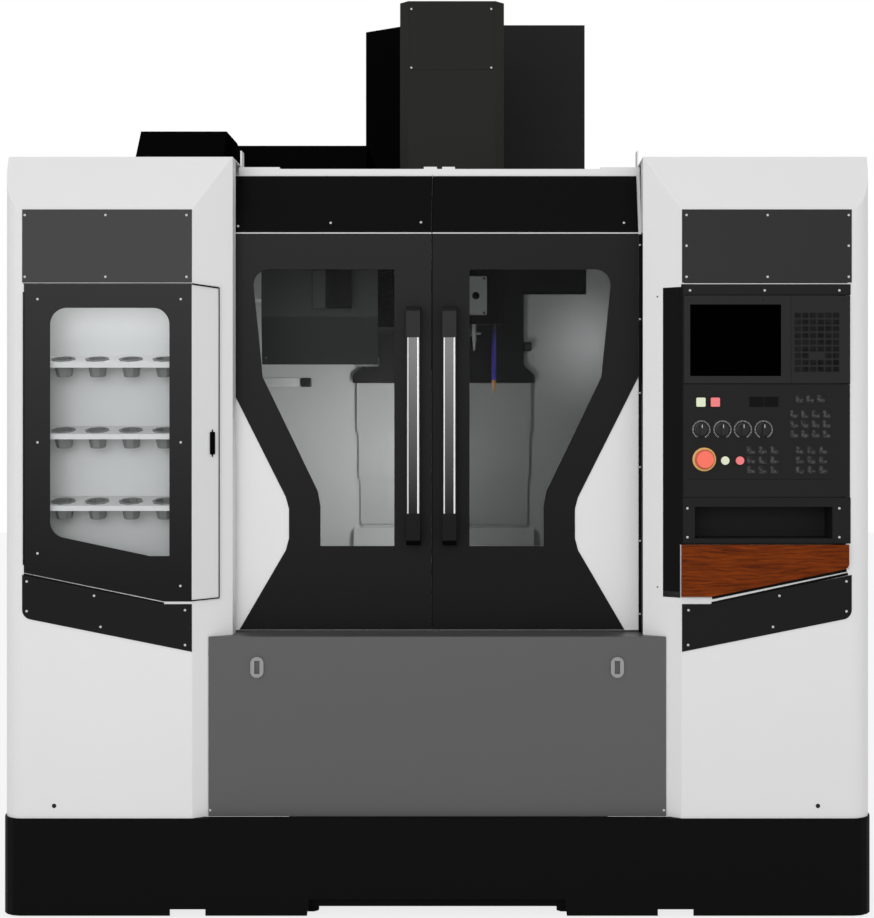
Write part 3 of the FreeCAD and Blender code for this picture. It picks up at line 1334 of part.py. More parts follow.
def make_head():
    neck = new_body("head_neck")
    side_view = [(depth(spindle_depth - 105), neck_low), (depth(spindle_depth + 120), neck_low),
                 (depth(spindle_depth + 260), neck_low + 60), (depth(1320), neck_low + 60),
                 (depth(1320), neck_top), (depth(spindle_depth + 160), neck_top),
                 (depth(spindle_depth + 100), neck_top - 60), (depth(spindle_depth - 105), neck_top - 60)]
    slab(neck, "side", [side_view], axis_x - neck_half, axis_x + neck_half)
    carve(neck, "plan", [disc(axis_x, depth(spindle_depth), cartridge_radius + run_gap)],
          neck_low - 1, neck_low + 260)
    carriage = box("head_carriage", (axis_x - 160, axis_x + 160),
                   (depth(1320), depth(column_front - z_rail_depth) - carriage_gap),
                   (neck_low - 80, neck_top + 80))
    apron = new_body("head_apron")
    flare_high = size("apron_flare_high", 1509)
    flare_low = size("apron_flare_low", 1473)
    outline = [(apron_x - apron_flare, apron_low), (apron_x + apron_flare, apron_low),
               (apron_x + apron_flare, flare_low), (apron_x + apron_half, flare_high),
               (apron_x + apron_half, neck_top), (apron_x - apron_half, neck_top),
               (apron_x - apron_half, flare_high), (apron_x - apron_flare, flare_low)]
    hole = rect(axis_x - neck_half, neck_low + 60, axis_x + neck_half, neck_top - 2)
    slab(apron, "front", [outline, hole], depth(apron_depth), depth(way_depth))
    lead = new_body("head_lead_cover")
    way_section(lead, 0, size("lead_cover_low", 1274), size("lead_cover_top", 1460))
    return keep(fuse("head_casting", [neck, carriage, apron, lead]))


def way_section(body, number, low, high):
    """One section of the vertical way cover: a front sheet with returned sides, nested by number."""
    half = way_half - way_step * number
    near = depth(way_depth + way_step * number)
    far = depth(rear_wall_depth if number == 3 else way_end)
    plan = [(apron_x - half, near), (apron_x + half, near), (apron_x + half, far),
            (apron_x + half - way_wall, far), (apron_x + half - way_wall, near + way_wall),
            (apron_x - half + way_wall, near + way_wall), (apron_x - half + way_wall, far),
            (apron_x - half, far)]
    slab(body, "plan", [plan], low, high)
    if number > 0:
        lip = rect(apron_x - half + 12, near - way_step + way_wall + fit_gap, apron_x + half - 12, near)
        slab(body, "plan", [lip], high - 10, high)
    return body


make_head()


def make_head_cover():
    def plan(inset):
        left, right = head_cover_x - head_cover_half, head_cover_x + head_cover_half
        near, far = depth(head_cover_front), depth(head_cover_back)
        bevel = head_cover_chamfer
        return [(left + inset, far), (left + inset, near + bevel), (left + bevel, near + inset),
                (right - bevel, near + inset), (right - inset, near + bevel), (right - inset, far)]

    body = new_body("head_cover_shell")
    slab(body, "plan", [plan(as_size(0))], head_cover_low, head_cover_top)
    carve(body, "plan", [plan(sheet_wall)], head_cover_low - 1, head_cover_top - sheet_wall)
    far = depth(head_cover_back)
    rear = rect(head_cover_x - head_cover_half, neck_top + 5, head_cover_x + head_cover_half, head_cover_top)
    slab(body, "front", [rear], far - sheet_wall, far)
    inner_left = head_cover_x - head_cover_half + 1
    inner_right = head_cover_x + head_cover_half - 1
    spans = ((inner_left, axis_x - neck_half - fit_gap), (axis_x + neck_half + fit_gap, inner_right))
    seats = [box(f"head_cover_seat_{number}", span, (depth(700), depth(760)), (1900, 1940))
             for number, span in enumerate(spans, 1)]
    return keep(fuse("head_cover", [body] + seats))


make_head_cover()


def make_spindle():
    motor = prism("motor_can", "z", (axis_x, depth(spindle_depth), neck_top + 20), 400, 105, 16)
    flange = box("motor_flange", (axis_x - 120, axis_x + 120),
                 (depth(spindle_depth - 102), depth(spindle_depth + 98)), (neck_top - 60, neck_top + 20))
    keep(fuse("spindle_motor", [motor, flange]))
    centre = (axis_x, depth(spindle_depth))
    cartridge = prism("spindle_cartridge", "z", (*centre, nose_low + 40), neck_low + 255 - nose_low - 40,
                      cartridge_radius, 24)
    nose = prism("spindle_nose", "z", (*centre, nose_low), 40, 44.5, 24)
    bore = taper("spindle_taper", (*centre, nose_low), 65, 22.225, 12.75)
    keys = [box(f"drive_key_{number}", (axis_x + offset - 8, axis_x + offset + 8),
                (depth(spindle_depth) - 8, depth(spindle_depth) + 8), (nose_low - 8, nose_low))
            for number, offset in enumerate((-33, 33), 1)]
    return keep(cut("spindle", fuse("spindle_body", [cartridge, nose] + keys), bore))


make_spindle()

hose_x = size("coolant_hose_x", 152)
hose_depth = size("coolant_hose_depth", 650)
hose_radius = size("coolant_hose_radius", 7)
hose_length = size("coolant_hose_length", 170)
bead_count = 9


def make_nozzles():
    """A coolant hose of ball links that stands straight down, its tip, and a short fixed jet beside it."""
    pitch = hose_length / bead_count
    top = head_cover_low
    place_y = depth(hose_depth)
    core = prism("hose_core", "z", (hose_x, place_y, top - hose_length), hose_length, hose_radius * 0.8, 8)
    pieces = [core]
    for number in range(bead_count):
        base = top - pitch * (number + 1)
        pieces.append(prism(f"hose_link_{number + 1}", "z", (hose_x, place_y, base), pitch * 0.64, hose_radius, 8))
    pieces.append(frustum("hose_tip", (hose_x, place_y, top - hose_length - 34), 34, 3, hose_radius * 0.9, 8))
    pieces.append(box("nozzle_block", (hose_x - 110, hose_x + 24), (place_y - 20, place_y + 20),
                      (top, neck_low)))
    jet_x = hose_x - 60
    pieces.append(prism("jet_pipe", "z", (jet_x, place_y, top - 45), 45, 6, 12))
    pieces.append(frustum("jet_tip", (jet_x, place_y, top - 80), 35, 2.5, 5.8, 12))
    pieces.append(prism("jet_valve", "x", (jet_x, place_y, top - 28), 20, 3.5, 8))
    return keep(fuse("coolant_nozzles", pieces))


make_nozzles()

# ---------------------------------------------------------------- telescopic way covers

deflector_top = size("deflector_top", 944)
deflector_low = size("deflector_low", 870)


def make_way_covers():
    upper = new_body("z_cover_upper")
    way_section(upper, 1, size("upper_cover_low", 1117), size("upper_cover_top", 1294))
    keep(upper)
    middle = new_body("z_cover_middle")
    way_section(middle, 2, size("middle_cover_low", 957), size("middle_cover_top", 1137))
    keep(middle)
    lower = new_body("z_cover_lower_sheet")
    way_section(lower, 3, size("lower_cover_low", 790), size("lower_cover_top", 977))
    near = depth(way_depth)
    flare = new_body("chip_deflector_sheet")
    slope = [(near - 12, deflector_top), (near - 35, deflector_low), (near - 33, deflector_low),
             (near - 10, deflector_top)]
    slab(flare, "side", [slope], apron_x - way_half - 9, apron_x + way_half + 9)
    cheeks = []
    for number, x in enumerate((apron_x - way_half - 9, apron_x + way_half + 7), 1):
        cheek = new_body(f"chip_deflector_cheek_{number}")
        outline = [(near - 12, deflector_top), (near - 35, deflector_low), (depth(rear_wall_depth), deflector_low),
                   (depth(rear_wall_depth), deflector_top)]
        slab(cheek, "side", [outline], x, x + way_wall)
        cheeks.append(cheek)
    screw_cover = new_body("y_screw_cover")
    cover = [(axis_x - 190, bed_top), (axis_x - 190, bed_top + 26), (axis_x - 160, bed_top + 32),
             (axis_x + 160, bed_top + 32), (axis_x + 190, bed_top + 26), (axis_x + 190, bed_top),
             (axis_x + 187, bed_top), (axis_x + 187, bed_top + 24), (axis_x + 159, bed_top + 29),
             (axis_x - 159, bed_top + 29), (axis_x - 187, bed_top + 24), (axis_x - 187, bed_top)]
    slab(screw_cover, "front", [cover], depth(bed_front + 6), depth(1300))
    return keep(group("way_covers", [fuse("chip_deflector", [flare] + cheeks), lower, screw_cover]))


make_way_covers()

# ---------------------------------------------------------------- saddle and table

saddle_half = size("saddle_half_width", 350)
saddle_run = size("saddle_half_depth", 190)
saddle_low = bed_top + rail_height + fit_gap
saddle_top = size("saddle_top", 742)
x_rail_height = size("x_rail_height", 23)
table_half = size("table_half_length", 500)
table_run = size("table_half_depth", 250)
table_top = size("table_top", 850)
slot_count = 5
slot_pitch = size("table_slot_pitch", 90)
slot_half = size("table_slot_half_width", 9)
slot_deep = size("table_slot_depth", 30)


def make_saddle():
    body = new_body("saddle")
    x_span = (axis_x - saddle_half, axis_x + saddle_half)
    centre = depth(spindle_depth)
    slab(body, "plan", [rect(x_span[0], centre - saddle_run, x_span[1], centre + saddle_run)],
         saddle_low, saddle_top)
    for side in (-1, 1):
        y = centre + 140 * side
        slab(body, "plan", [rect(x_span[0], y - 17, x_span[1], y + 17)], saddle_top, saddle_top + x_rail_height)
    keep(body)
    wipers = []
    for number, side in enumerate((-1, 1), 1):
        wiper = new_body(f"wiper_{number}")
        foot = centre + saddle_run * side
        slope = [(foot, saddle_top), (foot, saddle_top - 4), (foot + 60 * side, saddle_low + 8),
                 (foot + 60 * side, saddle_low + 12)]
        slab(wiper, "side", [slope], axis_x - 300, axis_x + 300)
        wipers.append(wiper)
    return keep(group("saddle_cover", wipers))


make_saddle()


def make_table():
    body = new_body("work_table")
    centre = depth(spindle_depth)
    low = saddle_top + x_rail_height + fit_gap
    left, right = axis_x - table_half, axis_x + table_half
    slab(body, "plan", [rect(left, centre - table_run, right, centre + table_run)], low, table_top)
    for number in range(slot_count):
        y = centre + slot_pitch * (number - (slot_count - 1) / 2)
        slot = [(y - slot_half, table_top + 1), (y - slot_half, table_top - slot_deep / 2),
                (y - slot_half * 1.7, table_top - slot_deep / 2), (y - slot_half * 1.7, table_top - slot_deep),
                (y + slot_half * 1.7, table_top - slot_deep), (y + slot_half * 1.7, table_top - slot_deep / 2),
                (y + slot_half, table_top - slot_deep / 2), (y + slot_half, table_top + 1)]
        carve(body, "side", [slot], left - 1, right + 1)
    return keep(body)


make_table()

# ---------------------------------------------------------------- tool changer

magazine_y = size("magazine_axis_depth", 891)
magazine_z = size("magazine_axis_z", 1850)
magazine_radius = size("magazine_radius", 358)
pot_circle = size("pot_circle_radius", 290)
pot_radius = size("pot_radius", 36)
pot_bore = size("pot_bore_radius", 23)
pot_length = size("pot_length", 110)
pot_count = 20
drum_facets = 12
gate_width = size("magazine_gate_width", 60)
gate_half = size("magazine_gate_half_run", 60)
gate_height = size("magazine_gate_height", 150)


def make_magazine():
    """A flat drum of folded plates, with a gate at its foot where a pot swings down to the arm."""
    centre_y = depth(magazine_y)

    def outline(inset):
        radius = magazine_radius - inset
        low, high = magazine_z - radius, magazine_z + radius
        front = depth(magazine_front) + inset
        corners = [(front, low + 140), (front, high - 190 + inset), (depth(700) + inset * 0.5, high)]
        for number in range(drum_facets + 1):
            angle = math.radians(90 - 180 / drum_facets * number)
            corners.append((centre_y + radius * round(math.cos(angle), 6),
                            magazine_z + radius * round(math.sin(angle), 6)))
        return corners + [(front + 130, low)]

    wall = sheet_wall
    gate_x = magazine_right - gate_width
    gate_near, gate_far = centre_y - gate_half, centre_y + gate_half
    gate_top = magazine_z - magazine_radius + gate_height
    left = new_body("magazine_left_plate")
    slab(left, "side", [outline(as_size(0))], magazine_left, magazine_left + wall)
    band = new_body("magazine_band")
    slab(band, "side", [outline(as_size(0)), outline(wall)], magazine_left + wall, gate_x)
    rim = new_body("magazine_gate_rim")
    slab(rim, "side", [outline(as_size(0)), outline(wall)], gate_x, magazine_right - wall)
    carve(rim, "side", [rect(gate_near, 0, gate_far, gate_top)], gate_x - 1, magazine_right)
    right = new_body("magazine_right_plate")
    slab(right, "side", [outline(as_size(0))], magazine_right - wall, magazine_right)
    carve(right, "side", [rect(depth(magazine_front) - 1, 0, depth(magazine_y * 2), gate_top)],
          magazine_right - wall - 1, magazine_right + 1)
    cheeks = []
    for name, span in (("front", (depth(0), gate_near)), ("rear", (gate_far, depth(magazine_y * 2)))):
        plate = new_body(f"magazine_{name}_cheek")
        slab(plate, "side", [outline(as_size(0))], magazine_right - wall, magazine_right)
        carve(plate, "side", [rect(depth(0), gate_top, depth(magazine_y * 2), overall_height)],
              magazine_right - wall - 1, magazine_right + 1)
        others = (span[1], depth(magazine_y * 2)) if name == "front" else (depth(0), span[0])
        carve(plate, "side", [rect(others[0], 0, others[1], gate_top + 1)],
              magazine_right - wall - 1, magazine_right + 1)
        cheeks.append(plate)
    hub = prism("magazine_hub", "x", (magazine_left + wall, centre_y, magazine_z), 60, 40, 12)
    stub = rod("magazine_stub", "x", (magazine_left + wall + 59, centre_y, magazine_z), 71, 25)
    shaft = fuse("magazine_shaft", [hub, stub])
    return keep(group("magazine_housing", [left, band, rim, right, *cheeks, shaft]))


make_magazine()


def make_magazine_disc():
    centre_y = depth(magazine_y)
    disc_x = magazine_left + sheet_wall + 62
    plate = new_body("magazine_plate")
    slab(plate, "side", [polygon(centre_y, magazine_z, pot_circle, pot_count),
                         disc(centre_y, magazine_z, 25 + run_gap)], disc_x, disc_x + 30)
    pots = []
    bores = []
    for number in range(pot_count):
        angle = math.radians(360 / pot_count * number + 90)
        y = centre_y + pot_circle * round(math.cos(angle), 6)
        z = magazine_z + pot_circle * round(math.sin(angle), 6)
        pots.append(prism(f"pot_{number + 1}", "x", (disc_x, y, z), pot_length, pot_radius, 6))
        bores.append(prism(f"pot_{number + 1}_bore", "x", (disc_x + 20, y, z), pot_length - 19, pot_bore, 6))
    solid = fuse("magazine_disc_body", [plate] + pots)
    return keep(cut("magazine_disc", solid, fuse("magazine_disc_bores", bores)))


make_magazine_disc()

arm_x = size("arm_axis_x", -275)
arm_depth = size("arm_axis_depth", 800)
arm_reach = size("arm_reach", 299)
arm_low = size("arm_low", 1498)
arm_thick = size("arm_thickness", 30)
arm_drop = size("arm_drop", 105)
arm_hub = size("arm_hub_radius", 52)
arm_claw = size("arm_claw_radius", 44)
arm_grip = size("arm_grip_radius", 32)
shaft_outer = size("arm_shaft_radius", 30)
shaft_pin = size("arm_pin_radius", 20)
case_low = size("gearbox_low", 1600)
case_shoulder = size("gearbox_shoulder", 1640)
case_middle = size("gearbox_middle", 1755)
case_top = size("gearbox_top", 1960)
shaft_top = size("arm_shaft_top", 1780)


def make_arm():
    centre = (arm_x, depth(arm_depth))
    plan = [(arm_x - 150, depth(650)), (arm_x + 120, depth(650)), (arm_x + 120, depth(1000)),
            (arm_x - 35, depth(1000)), (arm_x - 35, depth(1370)), (axis_x - column_half, depth(1370)),
            (axis_x - column_half, depth(1500)), (arm_x - 125, depth(1500)), (arm_x - 125, depth(1000)),
            (arm_x - 150, depth(1000))]
    gearbox = new_body("gearbox_case")
    case = rect(arm_x - 150, depth(650), arm_x + 120, depth(1000))
    slab(gearbox, "plan", [plan], case_shoulder, case_middle)
    slab(gearbox, "plan", [case], case_low, case_shoulder)
    slab(gearbox, "plan", [case], case_middle, case_top)
    carve(gearbox, "plan", [disc(*centre, shaft_outer + run_gap)], case_low - 1, case_top - 60)
    link = box("gearbox_link", (magazine_right, arm_x - 150), (depth(820), depth(960)),
               (case_middle - 55, case_middle))
    keep(fuse("atc_gearbox", [gearbox, link]))
    shoulder = arm_low + arm_thick + 3
    upper = prism("arm_shaft_upper", "z", (*centre, shoulder), shaft_top - shoulder, shaft_outer, 24)
    pin = rod("arm_shaft_pin", "z", (*centre, arm_low - 6), shoulder - arm_low + 7, shaft_pin)
    keep(fuse("arm_shaft", [upper, pin]))
    arm = new_body("change_arm")
    near_tip, far_tip = depth(arm_depth) - arm_reach, depth(arm_depth) + arm_reach
    plan = [(arm_x - 28, near_tip + 20), (arm_x + 28, near_tip + 20), (arm_x + 45, depth(arm_depth)),
            (arm_x + 28, far_tip - 20), (arm_x - 28, far_tip - 20), (arm_x - 45, depth(arm_depth))]
    slab(arm, "plan", [plan], arm_low, arm_low + arm_thick)
    slab(arm, "plan", [polygon(*centre, arm_hub, 12)], arm_low, arm_low + arm_thick)
    for tip in (near_tip, far_tip):
        slab(arm, "plan", [polygon(arm_x, tip, arm_claw, 12)], arm_low, arm_low + arm_thick)
    for tip, side in ((near_tip, -1), (far_tip, 1)):
        carve(arm, "plan", [polygon(arm_x, tip, arm_grip, 12)], arm_low - 1, arm_low + arm_thick + 1)
        mouth = rect(arm_x, tip - 26, arm_x + 50 * -side, tip + 26)
        carve(arm, "plan", [mouth], arm_low - 1, arm_low + arm_thick + 1)
    carve(arm, "plan", [disc(*centre, shaft_pin + run_gap)], arm_low - 1, arm_low + arm_thick + 1)
    return keep(arm)


make_arm()

roof_z = size("changer_roof_z", 2006)


def make_changer_covers():
    front = new_body("changer_front_sheet")
    low = size("changer_cover_low", 1477)
    left, right = size("changer_cover_left", -528), size("changer_cover_right", -188)
    near = size("changer_cover_front", 436)
    fold = size("changer_cover_fold", 1622)
    face = [(depth(near), roof_z - 3), (depth(near), fold), (depth(near + 14), low), (depth(near + 17), low),
            (depth(near + 3), fold), (depth(near + 3), roof_z - 3)]
    slab(front, "side", [face], left, right)
    bulge = new_body("changer_bulge")
    plan = [(-382, depth(near)), (-335, depth(near - 50)), (-263, depth(near - 50)), (-263, depth(near))]
    slab(bulge, "plan", [plan], 1640, 1750)
    roof = new_body("changer_roof")
    slab(roof, "plan", [rect(left - 20, depth(beam_back), right, depth(702))], roof_z - 3, roof_z)
    keep(fuse("atc_cover", [front, bulge, roof]))

    top = new_body("changer_top_sheet")
    foot_z = pod_top + fit_gap
    far = depth(1275)
    rise = [(depth(705), foot_z), (depth(757), 2108), (depth(800), 2182), (far, 2182), (far, 2179),
            (depth(802), 2179), (depth(760), 2107), (depth(708), foot_z)]
    slab(top, "side", [rise], magazine_right + fit_gap, -248)
    cheek = new_body("changer_top_cheek")
    shape = [(depth(708), foot_z), (depth(760), 2107), (depth(802), 2179), (far, 2179), (far, foot_z)]
    slab(cheek, "side", [shape], -251, -248)
    return keep(fuse("atc_top_panels", [top, cheek]))


make_changer_covers()

# ---------------------------------------------------------------- electrical cabinet on the back

cabinet_half = size("electrical_half_width", 450)
cabinet_low_z = size("electrical_low", 420)
cabinet_top_z = size("electrical_top", 2050)
cabinet_front = size("electrical_front", 1823)
back_door_wall = size("back_door_wall", 20)


def make_electrical_cabinet():
    body = new_body("electrical_case")
    near = depth(cabinet_front)
    far = back_y - back_door_wall - fit_gap
    x_low, x_high = axis_x - cabinet_half, axis_x + cabinet_half
    slab(body, "front", [rect(x_low, cabinet_low_z, x_high, cabinet_top_z)], near, far)
    carve(body, "front", [rect(x_low + 3, cabinet_low_z + 3, x_high - 3, cabinet_top_z - 3)], near + 3, far + 1)
    plate = box("electrical_plate", (x_low + 40, x_high - 40), (near + 3, near + 10),
                (cabinet_low_z + 60, cabinet_top_z - 60))
    bracket = box("electrical_bracket", (axis_x - 200, axis_x + 200), (depth(column_back), near),
                  (cabinet_low_z + 400, cabinet_low_z + 460))
    keep(fuse("electrical_cabinet", [body, plate, bracket]))
    door = new_body("rear_cabinet_door")
    slab(door, "front", [rect(x_low, cabinet_low_z, x_high, cabinet_top_z)], back_y - back_door_wall, back_y)
    carve(door, "front", [rect(x_low + 3, cabinet_low_z + 3, x_high - 3, cabinet_top_z - 3)],
          back_y - back_door_wall - 1, back_y - 3)
    return keep(door)


make_electrical_cabinet()

# ---------------------------------------------------------------- checks and export

doc.recompute()
faulty = [item.Name for item in doc.Objects if "Invalid" in item.State or "Error" in item.State]
if faulty:
    raise RuntimeError(f"failed features: {faulty}")
for label, item in kept.items():
    shape = item.Shape
    if shape.isNull() or not shape.isValid() or not shape.Solids:
        raise RuntimeError(f"{label} has no valid solid")

os.makedirs("parts", exist_ok=True)
for label, item in kept.items():
    item.Shape.exportStep(f"parts/{label}.step")

total = Part.makeCompound([item.Shape for item in kept.values()]).BoundBox
print(f"{len(kept)} parts, box X {total.XMin:.1f} {total.XMax:.1f}, Y {total.YMin:.1f} {total.YMax:.1f}, "
      f"Z {total.ZMin:.1f} {total.ZMax:.1f}")
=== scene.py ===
# %% [markdown]
# # A vertical machining centre, dressed for its portrait
#
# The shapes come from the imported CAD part. This script gives every piece its paint, metal, glass or wood,
# adds the small things that a CAD model leaves out (screws, dial scales, latches, a name plate), and sets
# up the picture: a camera straight in front, a white room and soft lamps.
#
# Blender works in metres. Places on the machine are written in millimetres as (x, s, z): x to the right,
# s backwards from the front of the housing, and z up from the floor.

import bpy
import bmesh
import math
import numpy as np
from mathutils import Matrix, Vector


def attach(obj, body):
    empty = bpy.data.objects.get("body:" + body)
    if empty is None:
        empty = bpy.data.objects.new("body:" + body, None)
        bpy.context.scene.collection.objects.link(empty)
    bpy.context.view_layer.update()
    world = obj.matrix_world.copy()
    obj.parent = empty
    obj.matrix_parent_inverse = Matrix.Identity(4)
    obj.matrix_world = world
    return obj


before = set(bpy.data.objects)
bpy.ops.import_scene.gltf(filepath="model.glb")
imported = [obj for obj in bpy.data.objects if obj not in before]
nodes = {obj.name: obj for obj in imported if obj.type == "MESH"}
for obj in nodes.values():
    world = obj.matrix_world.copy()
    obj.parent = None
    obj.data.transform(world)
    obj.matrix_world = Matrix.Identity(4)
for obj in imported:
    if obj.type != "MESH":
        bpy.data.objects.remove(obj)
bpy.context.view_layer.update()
MM = 0.001
FRONT = -1.0595
print("nodes", len(nodes))

# %% [markdown]
# ## Shader arithmetic
#
# A procedural pattern is a formula. A `Wire` holds one output socket of a shader node, and adding,
# multiplying or comparing wires adds the math nodes for it, so a pattern can be read as an expression.

# %% Wires


class Wire:
    """One output socket of a node tree, with arithmetic."""

    def __init__(self, tree, socket):
        self.tree = tree
        self.socket = socket

    def math(self, operation, *others, clamp=False):
        node = self.tree.nodes.new("ShaderNodeMath")
        node.operation = operation
        node.use_clamp = clamp
        for place, value in enumerate((self, *others)):
            feed(self.tree, node.inputs[place], value)
        return Wire(self.tree, node.outputs[0])

    def __add__(self, other):
        return self.math("ADD", other)

    def __sub__(self, other):
        return self.math("SUBTRACT", other)

    def __mul__(self, other):
        return self.math("MULTIPLY", other)

    def __rsub__(self, other):
        return (self * -1.0) + other

    __radd__ = __add__
    __rmul__ = __mul__

    def beside(self, *names):
        """Other outputs of the node that this wire comes from."""
        return [Wire(self.tree, self.socket.node.outputs[name]) for name in names]

    def above(self, edge, soft=0.0002):
        """0 below the edge and 1 above it, with a soft step."""
        return ((self - edge) * (1.0 / soft) + 0.5).math("ADD", 0.0, clamp=True)

    def within(self, low, high, soft=0.0002):
        """1 between two edges and 0 outside them."""
        return self.above(low, soft) * (1.0 - self.above(high, soft))


def feed(tree, socket, value):
    """Connect a wire to an input, or set a plain number or colour on it."""
    if isinstance(value, Wire):
        tree.links.new(value.socket, socket)
    elif isinstance(value, (tuple, list)):
        socket.default_value = (*value, 1.0)[: len(socket.default_value)]
    else:
        socket.default_value = value


# %% [markdown]
# ## Colours
#
# Colours are easiest to judge as display levels from 0 to 255. Blender's sockets want linear light, so
# `paint` turns one into the other.

# %% Colours


def linear(level):
    """A display level from 0 to 255 as linear light, by the sRGB curve."""
    level = level / 255
    return level / 12.92 if level <= 0.04045 else ((level + 0.055) / 1.055) ** 2.4


def paint(red, green=None, blue=None):
    """A linear colour from display levels; one level alone is a grey."""
    return tuple(linear(part) for part in (red, red if green is None else green, red if blue is None else blue))


# %% [markdown]
# ## Any other node
#
# A `Graph` adds every node that isn't plain arithmetic: its type, then its settings, because they can
# change which sockets it has, and then a value or a wire for each socket. The room uses it as well as
# the materials.

# %% Graph


class Graph:
    """A node tree and the one method that adds nodes to it."""

    def __init__(self, tree):
        self.tree = tree

    def node(self, kind, output=0, settings=None, **sockets):
        """Any node by its type; a socket is given by its name, or by _ and its number."""
        node = self.tree.nodes.new(kind)
        for name, value in (settings or {}).items():
            setattr(node, name, value)
        for name, value in sockets.items():
            key = int(name[1:]) if name[0] == "_" else name
            feed(self.tree, node.inputs[key], value)
        return Wire(self.tree, node.outputs[output])


# %% [markdown]
# ## A surface under construction
#
# `Surface` holds a material's node tree. Every pattern reads Object coordinates. All pieces of the
# machine sit at the origin, so a place in a pattern is a real place on the machine.

# %% Surface


class Surface(Graph):
    """A material's tree, its Principled node and the Object coordinates as wires."""

    def __init__(self, name):
        self.material = bpy.data.materials.new(name)
        self.material.use_nodes = True
        super().__init__(self.material.node_tree)
        self.shader = self.tree.nodes["Principled BSDF"]
        self.place = self.node("ShaderNodeTexCoord", "Object")
        self.x, self.y, self.z = self.node("ShaderNodeSeparateXYZ", _0=self.place).beside("X", "Y", "Z")

    def set(self, **inputs):
        """Set or connect inputs of the Principled node, with _ for a space."""
        for name, value in inputs.items():
            feed(self.tree, self.shader.inputs[name.replace("_", " ")], value)
        return self

    def stretched(self, along, across, up):
        """Object coordinates multiplied axis by axis."""
        return self.node("ShaderNodeVectorMath", settings={"operation": "MULTIPLY"}, _0=self.place,
                         _1=(along, across, up))

    def noise(self, scale, detail=2.0, where=None, twist=0.0):
        return self.node("ShaderNodeTexNoise", Vector=where or self.place, Scale=scale, Detail=detail,
                         Distortion=twist)

    def blend(self, share, first, second):
        """A colour between two, by a share from 0 to 1."""
        return self.node("ShaderNodeMix", 2, {"data_type": "RGBA"}, _0=share, _6=first, _7=second)

    def ramp(self, wire, low, high):
        """0 at the low value and 1 at the high one, and held there beyond."""
        return ((wire - low) * (1 / (high - low))).math("ADD", 0.0, clamp=True)

    def relief(self, height, strength, distance):
        """Small bumps: a height, how strongly it shades, and how deep it is in metres."""
        bump = self.node("ShaderNodeBump", Strength=strength, Distance=distance, Height=height)
        return self.set(Normal=bump)

    def mixed_with(self, share, first=None, second=None):
        """Show two shaders by a share; the one that isn't given is the Principled node."""
        own = Wire(self.tree, self.shader.outputs[0])
        mix = self.node("ShaderNodeMixShader", _0=share, _1=first or own, _2=second or own)
        feed(self.tree, self.tree.nodes["Material Output"].inputs["Surface"], mix)
        return self


# %% [markdown]
# ## Powder coat and cast paint
#
# Painted sheet metal is never quite even. Powder coat has a fine orange peel, its colour drifts by a
# percent or two, and its gloss drifts with it. One function makes every painted sheet. `sheen` is how
# strongly the paint mirrors the room: satin blacks mirror little, or they would look grey in a white room.

# %% Painted metal


def powder(surface, colour, rough=0.45, sheen=0.5, peel=0.1):
    """A drifting colour, a drifting gloss and orange peel on a surface."""
    cloud = surface.noise(1.7, 3.0)
    dim = surface.blend(cloud, (0.96, 0.96, 0.96), (1.0, 1.0, 1.0))
    mixed = surface.node("ShaderNodeMix", 2, {"data_type": "RGBA", "blend_type": "MULTIPLY"}, _0=1.0,
                         _6=dim, _7=colour)
    surface.set(Base_Color=mixed, Roughness=cloud * 0.06 + (rough - 0.03), Specular_IOR_Level=sheen)
    return surface.relief(surface.noise(420.0, 1.0), peel, 0.0002)


def painted(name, colour, rough=0.45, sheen=0.5, peel=0.1):
    return powder(Surface(name), colour, rough, sheen, peel).material


def cast(name, colour, sheen=0.3):
    """Painted casting: coarser and duller, with a soft mottle."""
    s = Surface(name)
    grain = s.noise(60.0, 5.0)
    s.set(Base_Color=s.blend(grain, tuple(part * 0.85 for part in colour), colour), Roughness=0.6,
          Specular_IOR_Level=sheen)
    return s.relief(grain, 0.3, 0.001).material


# %% [markdown]
# ## Metal, plastic and wood
#
# Brushed metal is noise drawn out along one axis, which changes both colour and gloss. Moulded plastic
# has a fine spark-eroded grain. The drawer's front is a veneer: long wavy bands for the year rings and
# short dark pores along them.

# %% Metal, plastic, wood


def brushed(name, colour, direction, rough=0.32):
    """Metal with fine lines along one axis: noise squeezed by a direction of scales."""
    s = Surface(name)
    lines = s.noise(55.0, 4.0, s.stretched(*direction))
    s.set(Base_Color=s.blend(lines, tuple(part * 0.82 for part in colour), colour), Metallic=1.0)
    s.set(Roughness=lines * 0.12 + (rough - 0.06))
    return s.relief(lines, 0.08, 0.0003).material


def moulded(surface, colour, rough=0.5, sheen=0.5, grain=0.12):
    """Plastic with a fine grain on a surface."""
    speck = surface.noise(700.0, 2.0)
    surface.set(Base_Color=colour, Roughness=speck * 0.08 + (rough - 0.04), Specular_IOR_Level=sheen)
    return surface.relief(speck, grain, 0.0002)


def plastic(name, colour, rough=0.5, sheen=0.5, grain=0.12):
    return moulded(Surface(name), colour, rough, sheen, grain).material


